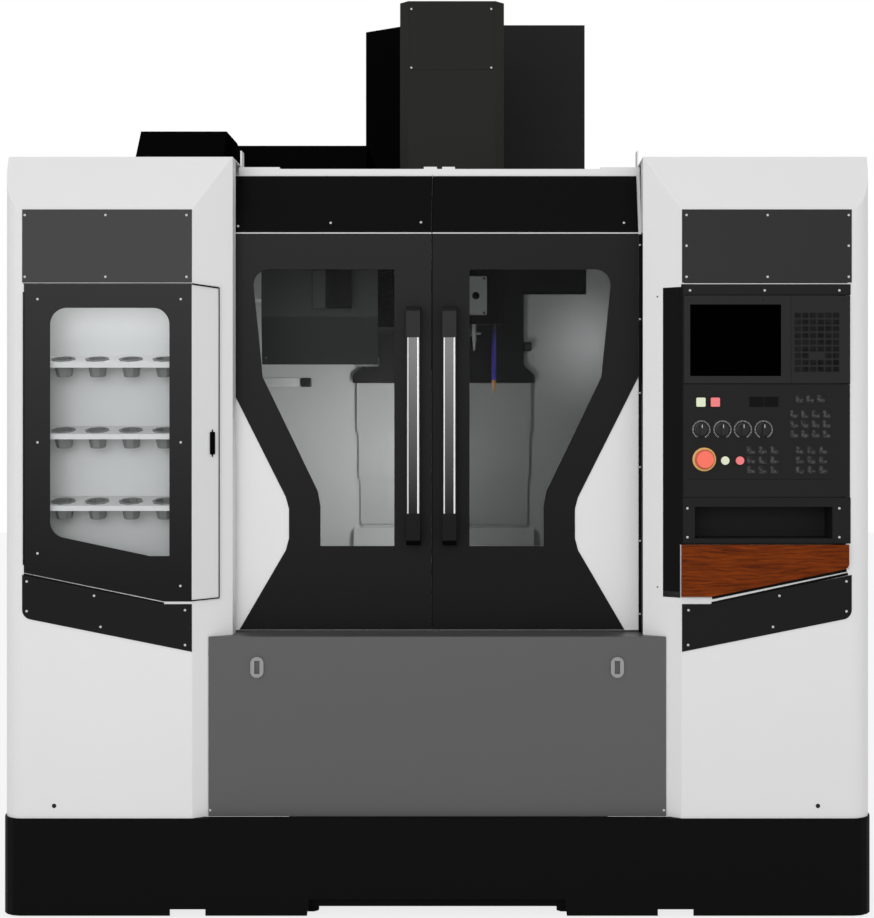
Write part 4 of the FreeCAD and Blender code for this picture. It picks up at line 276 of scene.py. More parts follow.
def veneer(name):
    """Reddish-brown wood, its grain from left to right: bands, fine streaks and dark pores."""
    s = Surface(name)
    drift = s.noise(7.0, 2.0, s.stretched(1.0, 1.0, 2.0))
    lifted = s.node("ShaderNodeVectorMath", settings={"operation": "ADD"}, _0=s.stretched(0.07, 1.0, 1.0),
                    _1=s.node("ShaderNodeCombineXYZ", _2=drift * 0.02))
    rings = s.noise(210.0, 3.0, lifted)
    pores = s.noise(520.0, 2.0, s.stretched(0.04, 1.0, 1.0))
    base = s.blend(rings.above(0.5, 0.4), paint(84, 31, 6), paint(128, 55, 11))
    s.set(Base_Color=s.blend(pores.above(0.62, 0.14) * 0.6, base, paint(50, 17, 3)))
    s.set(Roughness=pores * 0.15 + 0.35, Specular_IOR_Level=0.05)
    return s.relief(pores, 0.15, 0.0003).material


# %% [markdown]
# ## Glass
#
# A pane is mostly see-through. A Transparent shader lets the lamps light the inside, which true refraction
# would not do well, and a thin share of a glossy shader gives the reflection. Layer Weight raises that
# share at a flat angle, as on real glass.

# %% Glass


def pane(name, tint, rough, share, edge):
    """A window pane: a tint for what is seen through it, and a glossy skin."""
    s = Surface(name)
    smear = s.noise(3.0, 3.0)
    s.set(Base_Color=paint(20), Roughness=smear * 0.04 + rough, Specular_IOR_Level=0.5)
    clear = s.node("ShaderNodeBsdfTransparent", _0=tint)
    facing = s.node("ShaderNodeLayerWeight", "Facing", Blend=0.3)
    return s.mixed_with(facing * edge + (smear * 0.01 + share), first=clear).material


# %% [markdown]
# ## Sheets in two colours
#
# Some CAD nodes carry two finishes, and a place on the machine decides between them; some carry painted shade as
# well. The tool cabinet's door is black in front, with a painted shade towards its foot, and white on its slanted
# fold. The doors' covers are satin black, painted paler upwards, under a hood in near-black painted shade, and
# their sheets are white with a rim that the cover hides, painted black as shade for the gaps round the cover.

# %% Door sheets


def cabinet_door_paint_and_shade():
    """Black in front, with a painted shade that darkens it towards its foot, and white on the fold."""
    s = Surface("cabinet_door_paint_and_shade")
    # painted shade: the black front goes from level 49 at the top to 20 at its foot
    front = s.blend(s.ramp(s.z, 0.87, 1.68), paint(20), paint(49))
    return powder(s, s.blend(s.x.above(-0.6468), front, paint(222)), 0.45, 0.08).material


def door_cover_paint_and_shade(name, top, low):
    """Satin black with painted light that pales it upwards, and a near-black painted shade on the hood over the
    windows.
    """
    s = Surface(name)
    # painted light and shade: the sheet pales from the low level at its foot to the top level at z 1.82 m
    sheet = s.blend(s.ramp(s.z, 0.76, 1.82), paint(low), paint(top))
    # painted shade: the hood above z 1.8217 m is near-black, level 8
    return powder(s, s.blend(s.z.above(1.8217), sheet, paint(8)), 0.42, 0.05).material


def plate_paint_and_shade():
    """Painted light and shade: the upper plates are paler than the lower ones, and the left upper plate paler than
    the right; the door's seal behind them is matt black.
    """
    s = Surface("plate_black_and_shade")
    # painted light and shade: left upper plate level 69, right upper plate 50
    upper = s.blend(s.x.above(0.0), paint(69), paint(50))
    # painted shade: the lower plates, level 27, are darker than the upper ones
    sheet = s.blend(s.z.above(1.25), paint(27), upper)
    return powder(s, s.blend(s.y.above(FRONT + 0.04), sheet, paint(5)), 0.45, 0.06).material


# %% [markdown]
# ## Covers round the tool changer and the console
#
# Dark sheet catches light by how it is folded, and here that light and shade is painted: each flank, lip or
# bulge gets its own painted level by a mask on the place, with powder coat over all of it.

# %% Covers


def changer_cover_paint_and_shade():
    """Painted light and shade: paler above the fold than below it, and on the motor's bulge a pale flank and a
    near-black face.
    """
    s = Surface("changer_cover_black_and_shade")
    proud = 1.0 - s.y.above(FRONT + 0.43)
    # painted light: the sheet above the fold is paler than below it
    sheet = s.blend(s.z.above(1.616), paint(66), paint(84))
    # painted light and shade: the bulge's flank is pale and its face near-black
    bulge = s.blend(s.x.above(-0.336), paint(104), paint(30))
    return powder(s, s.blend(proud, sheet, bulge), 0.5, 0.05).material


def gearbox_paint():
    """White on its outer end, black behind the changer's cover."""
    s = Surface("gearbox_paint")
    return powder(s, s.blend(s.x.above(-0.5), paint(214), paint(16)), 0.5, 0.02).material


def panel_paint():
    """Grey sheet; the pull rings, which stand proud of it, are paler."""
    s = Surface("panel_grey")
    ring = 1.0 - s.y.above(FRONT + 0.0205)
    return powder(s, s.blend(ring, paint(88), paint(150)), 0.5, 0.3).material


def door_sheet_paint_and_gap_shade(name):
    """White, with a black rim behind the cover where the window sits in it: painted shade, so that the gaps round
    the cover show dark.
    """
    s = Surface(name)
    # painted shade: the rim is black so that the gaps round the cover read as shade
    rim = s.z.within(1.45, 1.7228) * s.x.within(-0.575, 0.54)
    return powder(s, s.blend(rim, paint(228), paint(20)), 0.5, 0.5).material


def column_cover_paint_and_shade():
    """Black, with a painted shade that makes its front left of the head near-black."""
    s = Surface("column_cover_black_and_shade")
    # painted shade: the front left of the head is level 8, the rest 43
    deep = (1.0 - s.x.above(-0.1)) * (1.0 - s.y.above(FRONT + 1.80))
    return powder(s, s.blend(deep, paint(43), paint(8)), 0.5, 0.0).material


def console_paint_and_shade():
    """Black sheet; the flank beside the panels carries a painted shade, darker than the lip round them."""
    s = Surface("console_black_and_shade")
    # painted shade: the flank, left of x 0.65 m, is level 16 and the lip 34
    return powder(s, s.blend(s.x.above(0.650), paint(16), paint(34)), 0.5, 0.05).material


# %% [markdown]
# ## The door handles
#
# A handle is a flat metal grip between two black end caps. A painted highlight runs down each long edge of the
# grip, a painted shade darkens the face between them towards the foot, and the caps carry painted shade.

# %% Handles


def handle_metal_and_painted_light(name, centre):
    """Black caps with painted shade, and a metal grip with a painted highlight along both edges and a painted
    shade towards its foot.
    """
    s = Surface(name)
    grip = s.z.within(1.0612, 1.5343)
    lines = s.noise(60.0, 4.0, s.stretched(1.0, 1.0, 0.03))
    across = s.ramp(s.x, centre - 0.017, centre + 0.017)
    # painted shade: the grip's face goes from level 82 at the top to 30 at its foot
    face = s.blend(s.ramp(s.z, 1.06, 1.5) * (lines * 0.2 + 0.9), paint(30), paint(82))
    # painted highlight: level 236 along both long edges of the grip
    face = s.blend(across.within(0.13, 0.84, 0.02), paint(236), face)
    # painted shade: the upper cap's top edge and the lower cap are near-black, level 6
    caps = s.blend(s.z.within(1.2, 1.607, 0.012), paint(6), paint(26))
    s.set(Base_Color=s.blend(grip, caps, face), Metallic=grip, Roughness=grip * (lines * 0.1) + 0.27,
          Specular_IOR_Level=0.1)
    return s.relief(lines, 0.06, 0.0002).material


# %% [markdown]
# ## The spindle head and its coolant hose
#
# The head's casting carries a black chip apron, a steel way cover and a painted shade on its left flank. The
# coolant hose is a chain of blue ball links with an orange tip: the fraction of z over the link's pitch repeats
# the painted light and shade of one bead along it, and a painted shade darkens the hose near its block.

# %% Head and hose


def head_casting_finish_and_shade():
    """Grey cast paint, pale on the lead of the way cover, black on the apron, and a dark painted shade on the
    flank.
    """
    s = Surface("head_casting_finish_and_shade")
    apron = s.y.within(0.2200, 0.2259) * s.z.above(1.4466)
    lead = s.y.above(0.2195) * (1.0 - s.z.above(1.4602))
    grain = s.noise(60.0, 5.0)
    base = s.blend(grain, paint(120), paint(134))
    with_lead = s.blend(lead, base, paint(196))
    # painted shade: the casting's left flank above the apron's foot is painted dark, like the apron
    flank = (1.0 - s.x.above(-0.14)) * s.z.above(1.4466)
    dark = flank.math("MAXIMUM", apron)
    s.set(Base_Color=s.blend(dark, with_lead, paint(30)), Roughness=grain * 0.1 + 0.45,
          Specular_IOR_Level=0.2)
    return s.relief(grain, 0.15, 0.0006).material


def nozzle_finish_and_shade():
    """A blue hose with painted light and shade on its beads and a painted shade near its block, an orange tip, a
    bright jet and a black block.
    """
    s = Surface("nozzle_finish_and_shade")
    block = s.z.above(1.6079)
    bead_pitch = 0.0063
    # painted light and shade: each bead is banded pale and dark along z
    beads = (s.z * (1 / bead_pitch)).math("FRACT").within(0.25, 0.75, 0.3)
    blue = s.blend(beads, paint(44, 36, 140), paint(108, 96, 250))
    # painted shade: the hose darkens towards its block
    blue = s.blend(s.ramp(s.z, 1.54, 1.60), blue, paint(22, 20, 52))
    hose = s.blend(s.z.above(1.4379), paint(255, 186, 120), blue)
    colour = s.blend(s.x.above(0.135), paint(205), hose)
    return moulded(s, s.blend(block, colour, paint(30)), 0.38, 0.3, 0.05).material


# %% [markdown]
# ## The operator's panels
#
# The film keys of the operator panel stand proud by 1 mm, and a painted highlight lies on each of them. The keys
# of the display unit are darker than the plate that they stand in. Both follow from the depth of a point:
# whatever lies in front of the plate is a key. Where a key's centre is comes from the same first places
# and spacings as the real groups of keys, so every painted highlight sits on its own key.

# %% Panels


def cell(place, first, pitch):
    """Where a place lies in its cell, 0 to 1, for cells round first + n * pitch."""
    return ((place - first) * (1 / pitch) + 0.5).math("FRACT")


def key_painted_highlight(s):
    """A painted highlight on each film key, in four groups of keys."""
    top, low, right = s.z.above(1.3465), 1.0 - s.z.above(1.2488), s.x.above(0.925)
    middle = 1.0 - top - low
    pair = right * cell(s.x, 0.9573, 0.0309) + (1.0 - right) * cell(s.x, 0.8284, 0.0309)
    across = top * cell(s.x, 0.9565, 0.0280) + middle * cell(s.x, 0.9422, 0.0285) + low * pair
    upward = top * cell(s.z, 1.3676, 0.0261) + middle * cell(s.z, 1.3269, 0.0261) + low * cell(s.z, 1.2318, 0.0258)
    corner = across.within(0.2, 0.42, 0.25) * upward.within(0.25, 0.9, 0.3)
    foot = across.within(0.35, 0.85, 0.3) * upward.within(0.2, 0.45, 0.25)
    return corner.math("MAXIMUM", foot) * s.noise(160.0, 1.0).above(0.46, 0.25)


def operator_panel_finish_and_highlights():
    """Black plate with a thin seam, painted highlights on its film keys and a deep black port."""
    s = Surface("operator_panel_finish_and_highlights")
    key = 1.0 - s.y.above(FRONT - 0.0033)
    port = 1.0 - s.y.above(FRONT - 0.0044)
    seam = s.z.within(1.1550, 1.1562) * s.x.within(0.662, 1.045)
    plate = s.blend(seam, paint(34), paint(12))
    # painted highlight: a pale spot of level 86 on each film key
    colour = s.blend(key * key_painted_highlight(s), plate, paint(86))
    return moulded(s, s.blend(port, colour, paint(10)), 0.5, 0.06).material


def display_finish():
    """Dark grey plate; the typing keys in front of it are mottled black."""
    s = Surface("display_finish")
    key = 1.0 - s.y.above(FRONT - 0.0056)
    cloud = s.noise(30.0, 2.0)
    tone = s.blend(cloud.above(0.5, 0.3), paint(5), paint(26))
    return moulded(s, s.blend(key, paint(41), tone), 0.45, 0.06).material


def screen_finish():
    """A screen that is switched off: black and very smooth."""
    s = Surface("screen_finish")
    glow = s.noise(2.0, 1.0)
    s.set(Base_Color=s.blend(glow, paint(0), paint(2)), Roughness=glow * 0.03 + 0.12, Specular_IOR_Level=0.0)
    return s.material


# %% [markdown]
# ## Who wears what
#
# Every CAD node gets its finish here. Blacks differ a little from piece to piece, as they do between
# sheet, plastic and casting; some of them also carry painted light and shade.

# %% Finishes
white = painted("white_paint", paint(228), 0.5)
inner_white = painted("inner_white", paint(214), 0.55, 0.3)
sill_grey = painted("sill_grey", paint(84), 0.4, 0.3)
head_black = painted("head_black", paint(38, 38, 36), 0.42, 0.06)
roof_black = painted("roof_black", paint(8), 0.5, 0.0)
base_black = painted("base_black", paint(15), 0.55, 0.03)
sleeve_grey = plastic("sleeve_grey", paint(120), 0.5, 0.3)
casting_grey = cast("casting_grey", paint(168))
ground_iron = cast("ground_iron", paint(150))
cover_steel = painted("cover_steel", paint(196), 0.4, 0.4, 0.04)
bright_steel = brushed("bright_steel", paint(190), (1.0, 1.0, 0.05))
rubber = plastic("rubber", paint(22), 0.75, 0.2, 0.25)
red_cap = plastic("red_cap", paint(252, 120, 100), 0.4, 0.15, 0.03)
pink_lens = plastic("pink_lens", paint(246, 130, 132), 0.35, 0.15, 0.03)
pale_lens = plastic("pale_lens", paint(228, 234, 206), 0.35, 0.15, 0.03)
dial_black = plastic("dial_black", paint(10), 0.3, 0.25, 0.03)
window_glass = pane("window_glass", (0.9, 0.91, 0.91), 0.05, 0.02, 0.1)
# painted shade: the right pane's darker tint darkens the working room behind it
right_glass_painted_shade = pane("right_glass_painted_shade", (0.52, 0.53, 0.53), 0.05, 0.02, 0.1)
cabinet_glass = pane("cabinet_glass", (0.95, 0.96, 0.96), 0.05, 0.01, 0.1)

FINISH = {
    "base_skirt": base_black, "bed_casting": casting_grey, "levelling_feet": rubber,
    "front_sill": sill_grey, "lower_front_panel": panel_paint(), "left_pod": white, "right_pod": white,
    "pod_plates": plate_paint_and_shade(), "splash_walls": inner_white, "top_beam": white,
    "column_casting": casting_grey, "column_cover": column_cover_paint_and_shade(), "atc_top_panels": roof_black,
    "magazine_housing": roof_black, "atc_gearbox": gearbox_paint(), "atc_cover": changer_cover_paint_and_shade(),
    "coolant_tank": base_black, "electrical_cabinet": white, "rear_cabinet_door": white,
    "tool_rack": inner_white, "tool_sleeves": sleeve_grey, "console_housing": console_paint_and_shade(),
    "display_bezel": display_finish(), "display_screen": screen_finish(),
    "operator_panel": operator_panel_finish_and_highlights(), "way_covers": cover_steel,
    "left_door_sheet": door_sheet_paint_and_gap_shade("left_sheet_white"),
    "right_door_sheet": door_sheet_paint_and_gap_shade("right_sheet_white"),
    # painted light and shade: the left cover is painted paler than the right one
    "left_door_cover": door_cover_paint_and_shade("left_cover_black_and_shade", 40, 25),
    "right_door_cover": door_cover_paint_and_shade("right_cover_black_and_shade", 33, 23),
    "left_door_window": window_glass, "right_door_window": right_glass_painted_shade,
    "left_door_handle": handle_metal_and_painted_light("left_handle_painted_light", -0.0664),
    "right_door_handle": handle_metal_and_painted_light("right_handle_painted_light", 0.0312), "cabinet_door": cabinet_door_paint_and_shade(),
    "cabinet_window": cabinet_glass, "drawer_box": bright_steel, "drawer_front": veneer("drawer_veneer"),
    "emergency_stop_button": red_cap, "start_button": pale_lens, "stop_button": pink_lens,
    "power_on_button": pale_lens, "power_off_button": pink_lens, "mode_knob": dial_black,
    "feed_knob": dial_black, "rapid_knob": dial_black, "spindle_knob": dial_black,
    "saddle": casting_grey, "saddle_cover": rubber, "work_table": ground_iron,
    "head_casting": head_casting_finish_and_shade(), "head_cover": head_black, "spindle_motor": roof_black,
    "coolant_nozzles": nozzle_finish_and_shade(), "spindle": bright_steel, "z_cover_upper": cover_steel,
    "z_cover_middle": cover_steel, "magazine_disc": ground_iron, "arm_shaft": bright_steel,
    "change_arm": bright_steel,
}
for name, node in nodes.items():
    node.data.materials.clear()
    node.data.materials.append(FINISH[name])
print("finished nodes", len(nodes))

# %% [markdown]
# ## Surfaces from numbers
#
# The small added pieces are grids: rows of points along a profile, columns round an axis or along an
# outline. numpy works out all points at once, and `piece` turns them into a closed mesh, sets which edges
# are sharp, and lets it ride on a body of the machine.
#
# A grid is worked out flat, as (a, b, h): right, up and out of the wall. `mount` then carries it to its
# place on the wall.

# %% Grids to meshes


def mount(local, centres, right=(1.0, 0.0, 0.0)):
    """Points (a, b, h) to the machine: centre + right * a + up * b + out * h, once per centre."""
    right = np.array(right) / np.linalg.norm(right)
    up = np.array((0.0, 0.0, 1.0))
    axes = np.stack([right, up, np.cross(right, up)])
    centres = np.atleast_2d(np.array(centres, float))
    return centres[:, None, None, :] + (np.asarray(local) @ axes)[None]


def piece(name, grids, finish, body):
    """Grids (count, rows, columns, 3) in mm to one mesh whose columns close round."""
    count, rows, columns, _ = grids.shape
    row = np.arange(rows - 1)[:, None]
    column = np.arange(columns)[None, :]
    after = (column + 1) % columns
    faces = np.stack([row * columns + column, row * columns + after,
                      (row + 1) * columns + after, (row + 1) * columns + column], -1).reshape(-1, 4)
    faces = (faces[None] + (np.arange(count) * rows * columns)[:, None, None]).reshape(-1, 4)
    points = grids.reshape(-1, 3) * MM + np.array((0.0, FRONT, 0.0))
    mesh = bpy.data.meshes.new(name)
    mesh.from_pydata(points.tolist(), [], faces.tolist())
    whole = bmesh.new()
    whole.from_mesh(mesh)
    bmesh.ops.remove_doubles(whole, verts=whole.verts, dist=2e-6)
    bmesh.ops.dissolve_degenerate(whole, edges=whole.edges, dist=1e-6)
    bmesh.ops.recalc_face_normals(whole, faces=whole.faces)
    whole.to_mesh(mesh)
    whole.free()
    mesh.shade_smooth()
    mesh.set_sharp_from_angle(angle=math.radians(32))
    mesh.materials.append(finish)
    thing = bpy.data.objects.new(name, mesh)
    bpy.context.scene.collection.objects.link(thing)
    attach(thing, body)
    print(name, "on", body, len(mesh.polygons), "faces")
    return thing


# %% [markdown]
# ## Round pieces
#
# A screw head, a dial or a ring is turned: its profile gives a radius and a height, and the grid is
# (radius cos t, radius sin t, height) for t round the circle.

# %% Turned pieces


def turned(profile, steps=28):
    """Profile rows of (radius, height) carried round: a = r cos t, b = r sin t, h = height."""
    radius, height = np.array(profile, float).T
    t = np.linspace(0, 2 * np.pi, steps, endpoint=False)
    return np.stack([np.outer(radius, np.cos(t)), np.outer(radius, np.sin(t)),
                     np.outer(height, np.ones(steps))], -1)


screw_zinc = painted("screw_zinc", paint(205), 0.35, 0.5, 0.02)
screw_dark = painted("screw_dark", paint(22), 0.45, 0.2, 0.02)
button_head = [(0, 0.5), (1.2, 0.5), (1.3, 1.5), (2.3, 1.3), (3.1, 0.7), (3.4, 0.0), (3.4, -0.4), (0, -0.4)]
hole_rim = [(0, 0.15), (4.4, 0.15), (4.8, 0.9), (5.6, 0.9), (6.0, 0.0), (6.0, -0.3), (0, -0.3)]

# %% [markdown]
# ## Screws
#
# The sheets are held by button-head screws with a socket. Pale ones hold the black plates, the doors'
# covers and the console's frame, dark ones hold the operator's panels. Their places are measured on the
# picture and moved to the plane of the sheet that each one holds.

# %% Screws
plates_s, panel_s, lower_panel_s = -2.0, -3.0, 22.0
frame_screws = [
    (-1088, plates_s, 1853), (-875, plates_s, 1853), (-661, plates_s, 1853),
    (-1088, plates_s, 1690), (-875, plates_s, 1690), (-661, plates_s, 1690),
    (659, plates_s, 1853), (873, plates_s, 1853), (1087, plates_s, 1853),
    (659, plates_s, 1690), (873, plates_s, 1690), (1087, plates_s, 1690),
    (659, plates_s, 1772), (1087, plates_s, 1772),
    (-1083, plates_s, 886), (-905, plates_s, 848), (-665, plates_s, 810),
    (-1083, plates_s, 807.5), (-888, plates_s, 766), (-665, plates_s, 718),
    (664, plates_s, 810), (904, plates_s, 848), (1081, plates_s, 886),
    (1081, plates_s, 807), (887, plates_s, 766), (663, plates_s, 718),
    (668, panel_s, 1654), (865, panel_s, 1654), (1062, panel_s, 1654),
    (661, panel_s, 1079), (1062, panel_s, 1079), (661, panel_s, 1002.6), (1062, panel_s, 1002.6),
    (-603, lower_panel_s, 276), (601.7, lower_panel_s, 276),
]
piece("frame_screws", mount(turned(button_head, 12), frame_screws), screw_zinc, "frame")
seal_screws = [(546.6, 107.0, z) for z in (1787, 1586, 1386, 1185, 985, 787)]
piece("seal_screws", mount(turned([(r * 0.8, h) for r, h in button_head], 12), seal_screws), screw_zinc, "frame")
dark_screws = [(x, panel_s, z) for x, z in ((649.3, 1112.4), (859.6, 1112.4), (1071.4, 1112.4), (649.3, 1371),
                                            (1071.4, 1371))]
dark_screws += [(x, -5.0, 1628.8) for x in (665.0, 859.6, 1071.4)]
small_head = [(r * 0.7, h * 0.7) for r, h in button_head]
piece("panel_screws", mount(turned(small_head, 12), dark_screws), screw_dark, "frame")
piece("lifting_holes", mount(turned(hole_rim, 20), [(-1011, 0, 293), (1006, 0, 293)]), screw_dark, "frame")
cabinet_screws = [(x, panel_s, z) for x, z in ((-1054, 1631), (-676, 1631), (-1054, 1253), (-676, 1253),
                                               (-1054, 960), (-677, 874))]
piece("cabinet_door_screws", mount(turned(button_head, 12), cabinet_screws), screw_zinc, "tool_cabinet_door")
pod_slant = (0.8361, -0.5487, 0.0)
piece("console_flange_screws", mount(turned(small_head, 12), [(586.6, 39.0, 1641), (586.6, 39.0, 867)], pod_slant),
      screw_dark, "frame")
atc_screws = [(-391, 436, 1636), (-259, 436, 1636), (-514, 436, 1496)]
screw_dull = painted("screw_dull", paint(110), 0.5, 0.2, 0.02)
piece("changer_cover_screws", mount(turned(button_head, 12), atc_screws), screw_dull, "frame")
left_hood = [(-545.5, 124.5, 1840), (-294, 128.0, 1849.5), (-48, 128.5, 1851)]
piece("left_hood_screws", mount(turned(button_head, 12), left_hood), screw_zinc, "left_door")
piece("right_hood_screws", mount(turned(button_head, 12), [(505, 128.0, 1849.5)]), screw_zinc, "right_door")

# %% [markdown]
# ## Dials
#
# Each of the four rotary switches has a black skirt that turns with its knob and a white line on the grip.
# Round it, a scale of short ticks is printed on the panel. Printed marks would be flat, so they are
# boxes only a tenth of a millimetre high: a tick is a small box turned to its angle.

# %% Dials
dial_x = (697.7, 753.6, 807.5, 862.2)
dial_z = 1287.0
skirt = [(4.2, 0.4), (18.0, 0.4), (19.0, 1.2), (19.0, 2.4), (18.2, 3.2), (15.4, 3.6), (4.2, 3.6), (4.2, 0.4)]
box_outline = np.array([(-1, -1), (1, -1), (1, 1), (-1, 1)], float)


def boxes(centres, half_a, half_b, low, high, turn):
    """Small boxes on a wall, each turned in its plane: centres and angles give one box each."""
    centres = np.asarray(centres, float)
    turn = np.broadcast_to(turn, len(centres))
    flat = box_outline * (half_a, half_b)
    cos, sin = np.cos(turn)[:, None], np.sin(turn)[:, None]
    a = centres[:, None, 0] + flat[None, :, 0] * cos - flat[None, :, 1] * sin
    b = centres[:, None, 1] + flat[None, :, 0] * sin + flat[None, :, 1] * cos
    middle_a, middle_b = (np.repeat(centres[:, axis, None], 4, 1) for axis in (0, 1))
    rows = [(middle_a, middle_b, low), (a, b, low), (a, b, high), (middle_a, middle_b, high)]
    return np.stack([np.stack([u, v, np.full_like(u, h)], -1) for u, v, h in rows], 1)


mark_white = painted("mark_white", paint(226), 0.6, 0.2, 0.02)
ticks = np.radians(np.linspace(-60, 240, 31))
tick_centres = np.stack([np.cos(ticks), np.sin(ticks)], -1) * 22.4
scale_grids = np.concatenate([
    boxes(tick_centres, 1.7, 0.45, 0.0, 0.12, ticks) @ np.array([(1, 0, 0), (0, 0, 1), (0, -1, 0)])
    + np.array((x, panel_s, dial_z)) for x in dial_x])
piece("dial_scales", scale_grids, mark_white, "frame")
for name, x in zip(("mode", "feed", "rapid", "spindle"), dial_x):
    piece(f"{name}_dial_skirt", mount(turned(skirt, 40), (x, panel_s, dial_z)), dial_black, f"{name}_knob")
    line = boxes([(0.0, 8.5)], 0.7, 4.5, 17.6, 18.15, 0.0)
    line = line @ np.array([(1, 0, 0), (0, 0, 1), (0, -1, 0)]) + np.array((x, panel_s, dial_z))
    piece(f"{name}_dial_pointer", line, mark_white, f"{name}_knob")

# %% [markdown]
# ## The ring of the emergency stop
#
# Under the red mushroom head lies a yellow ring with a rolled edge.

# %% Emergency stop ring
yellow = plastic("yellow_ring", paint(222, 176, 96), 0.4, 0.4, 0.03)
stop_ring = [(13.5, 0.0), (13.5, 1.6), (29.5, 1.6), (30.9, 1.1), (31.2, 0.0), (13.5, 0.0)]
piece("emergency_stop_ring", mount(turned(stop_ring, 48), (705.5, panel_s, 1208)), yellow, "frame")

# %% [markdown]
# ## Latch and plates
#
# A flat piece with rounded corners is an outline carried outwards: its foot, its side, a bevel, and a last
# row drawn in to the centre. The latch of the tool cabinet is such a pad on the door's slanted fold, with a
# pointed cam above and below.

# %% Flat pieces


def rounded(width, height, corner, steps=5):
    """Outline of a rectangle with rounded corners, as points round its centre."""
    quarter = np.linspace(0, np.pi / 2, steps)
    arc = np.stack([np.cos(quarter), np.sin(quarter)], -1) * corner
    inset = np.array((width / 2 - corner, height / 2 - corner))
    corners = []
    for turns, sign in enumerate(((1, 1), (-1, 1), (-1, -1), (1, -1))):
        turn = turns * np.pi / 2
        spin = np.array([(np.cos(turn), np.sin(turn)), (-np.sin(turn), np.cos(turn))])
        corners.append(arc @ spin + inset * sign)
    return np.concatenate(corners)


def pad(outline, height, bevel, foot=0.0):
    """Rows of a closed pad: centre, foot, side, bevel, centre."""
    reach = np.abs(outline).max(0)
    inner = outline * (1 - bevel / reach)
    centre = outline * 0
    rows = [(centre, foot), (outline, foot), (outline, height - bevel), (inner, height), (centre, height)]
    return np.stack([np.column_stack([flat, np.full(len(flat), h)]) for flat, h in rows])


latch_black = plastic("latch_black", paint(3), 0.5, 0.02, 0.05)
fold_right = (0.8361, 0.5487, 0.0)
fold_place = (-598.0, 26.8, 1250.5)
piece("cabinet_latch", mount(pad(rounded(14, 61, 4), 4.0, 1.2), fold_place, fold_right), latch_black,
      "tool_cabinet_door")
piece("cabinet_latch_cam", mount(pad(rounded(3.0, 73, 1.4), 2.2, 0.6), fold_place, fold_right), latch_black,
      "tool_cabinet_door")

# %% [markdown]
# ## Seals
#
# Rubber lips close the gaps between sheets: down the middle where the two doors meet, round the fold of the
# tool cabinet's door, and between the panels of the console. Their black is also painted shade for the gaps. A lip
# is a straight bar between two points.

# %% Seals


def bar(start, end, half_side, half_lift):
    """A straight bar: start and end plus or minus side and lift, with closed ends."""
    start, end = np.array(start, float), np.array(end, float)
    along = (end - start) / np.linalg.norm(end - start)
    lift = np.cross(along, (0.0, 1.0, 0.0))
    lift /= np.linalg.norm(lift)
    side = np.cross(lift, along)
    section = box_outline @ np.stack([lift * half_lift, side * half_side])
    rows = [np.tile(start, (4, 1)), start + section, end + section, np.tile(end, (4, 1))]
    return np.stack(rows)[None]


# painted shade: the lips' black also stands in for the shade in the gaps they fill
seal_and_gap_shade_black = plastic("seal_and_gap_shade_black", paint(14), 0.7, 0.05, 0.1)
piece("meeting_lip_low", bar((-17.5, 130, 747), (-17.5, 130, 1822), 4.0, 1.2), seal_and_gap_shade_black, "left_door")
piece("meeting_lip_hood", bar((-17.5, 134, 1824), (-17.5, 190, 1980), 4.0, 1.2), seal_and_gap_shade_black, "left_door")
piece("fold_lip_top", bar((-646, -5.4, 1671), (-581, 37.2, 1664), 0.8, 2.0), seal_and_gap_shade_black, "tool_cabinet_door")
piece("fold_lip_side", bar((-581.5, 36.9, 1663), (-581.5, 36.9, 839), 0.8, 1.2), seal_and_gap_shade_black, "tool_cabinet_door")
piece("column_lip", bar((472, 1320, 1757), (472, 1320, 2000), 1.0, 7.0), seal_and_gap_shade_black, "frame")
piece("fold_lip_foot", bar((-646, -5.4, 835.5), (-581, 37.2, 838.5), 0.8, 1.6), seal_and_gap_shade_black, "tool_cabinet_door")
piece("left_plate_lip", bar((-1091, -1.0, 904.6), (-721, -1.0, 827.6), 0.8, 2.6), seal_and_gap_shade_black, "frame")
piece("right_plate_lip", bar((1085, -1.0, 905.6), (725, -1.0, 828.0), 0.8, 3.4), seal_and_gap_shade_black, "frame")
piece("drawer_lip", bar((726, -3.2, 842.8), (1081, -3.2, 915.6), 0.8, 3.8), seal_and_gap_shade_black, "drawer")
piece("console_head_lip", bar((652, -1.0, 1674.6), (1084, -1.0, 1674.6), 0.8, 1.1), seal_and_gap_shade_black, "frame")
piece("cabinet_head_lip", bar((-1093, 0.5, 1672.4), (-648, 0.5, 1672.4), 0.8, 0.9), seal_and_gap_shade_black, "frame")
for number, z in enumerate((1407.5, 1107.5, 1642.0), 1):
    piece(f"console_lip_{number}", bar((1058, -0.8, z), (1090.5, -0.8, z), 0.7, 1.2), seal_and_gap_shade_black, "frame")

# %% [markdown]
# ## The plates on the head
#
# A plate with a round hole is a ring: its rows run from the outer edge to the hole, in front and behind.
# The hole's points are taken at the angles of the outline's points, so that the faces between them
# don't twist.

# %% Plates with a hole


def holed(outline, hole_centre, hole_radius, thick):
    """Rows outer foot, outer front, hole front, hole foot, outer foot; the hole follows the outline's angles."""
    away = outline - hole_centre
    angle = np.arctan2(away[:, 1], away[:, 0])
    hole = hole_centre + hole_radius * np.stack([np.cos(angle), np.sin(angle)], -1)
    rows = [(outline, 0.0), (outline, thick), (hole, thick), (hole, 0.0), (outline, 0.0)]
    return np.stack([np.column_stack([flat, np.full(len(flat), h)]) for flat, h in rows])


def dense(outline, steps=6):
    """Extra points along each side of an outline, by straight steps."""
    after = np.roll(outline, -1, 0)
    share = np.linspace(0, 1, steps, endpoint=False)[:, None]
    return (outline[:, None] * (1 - share) + after[:, None] * share).reshape(-1, 2)


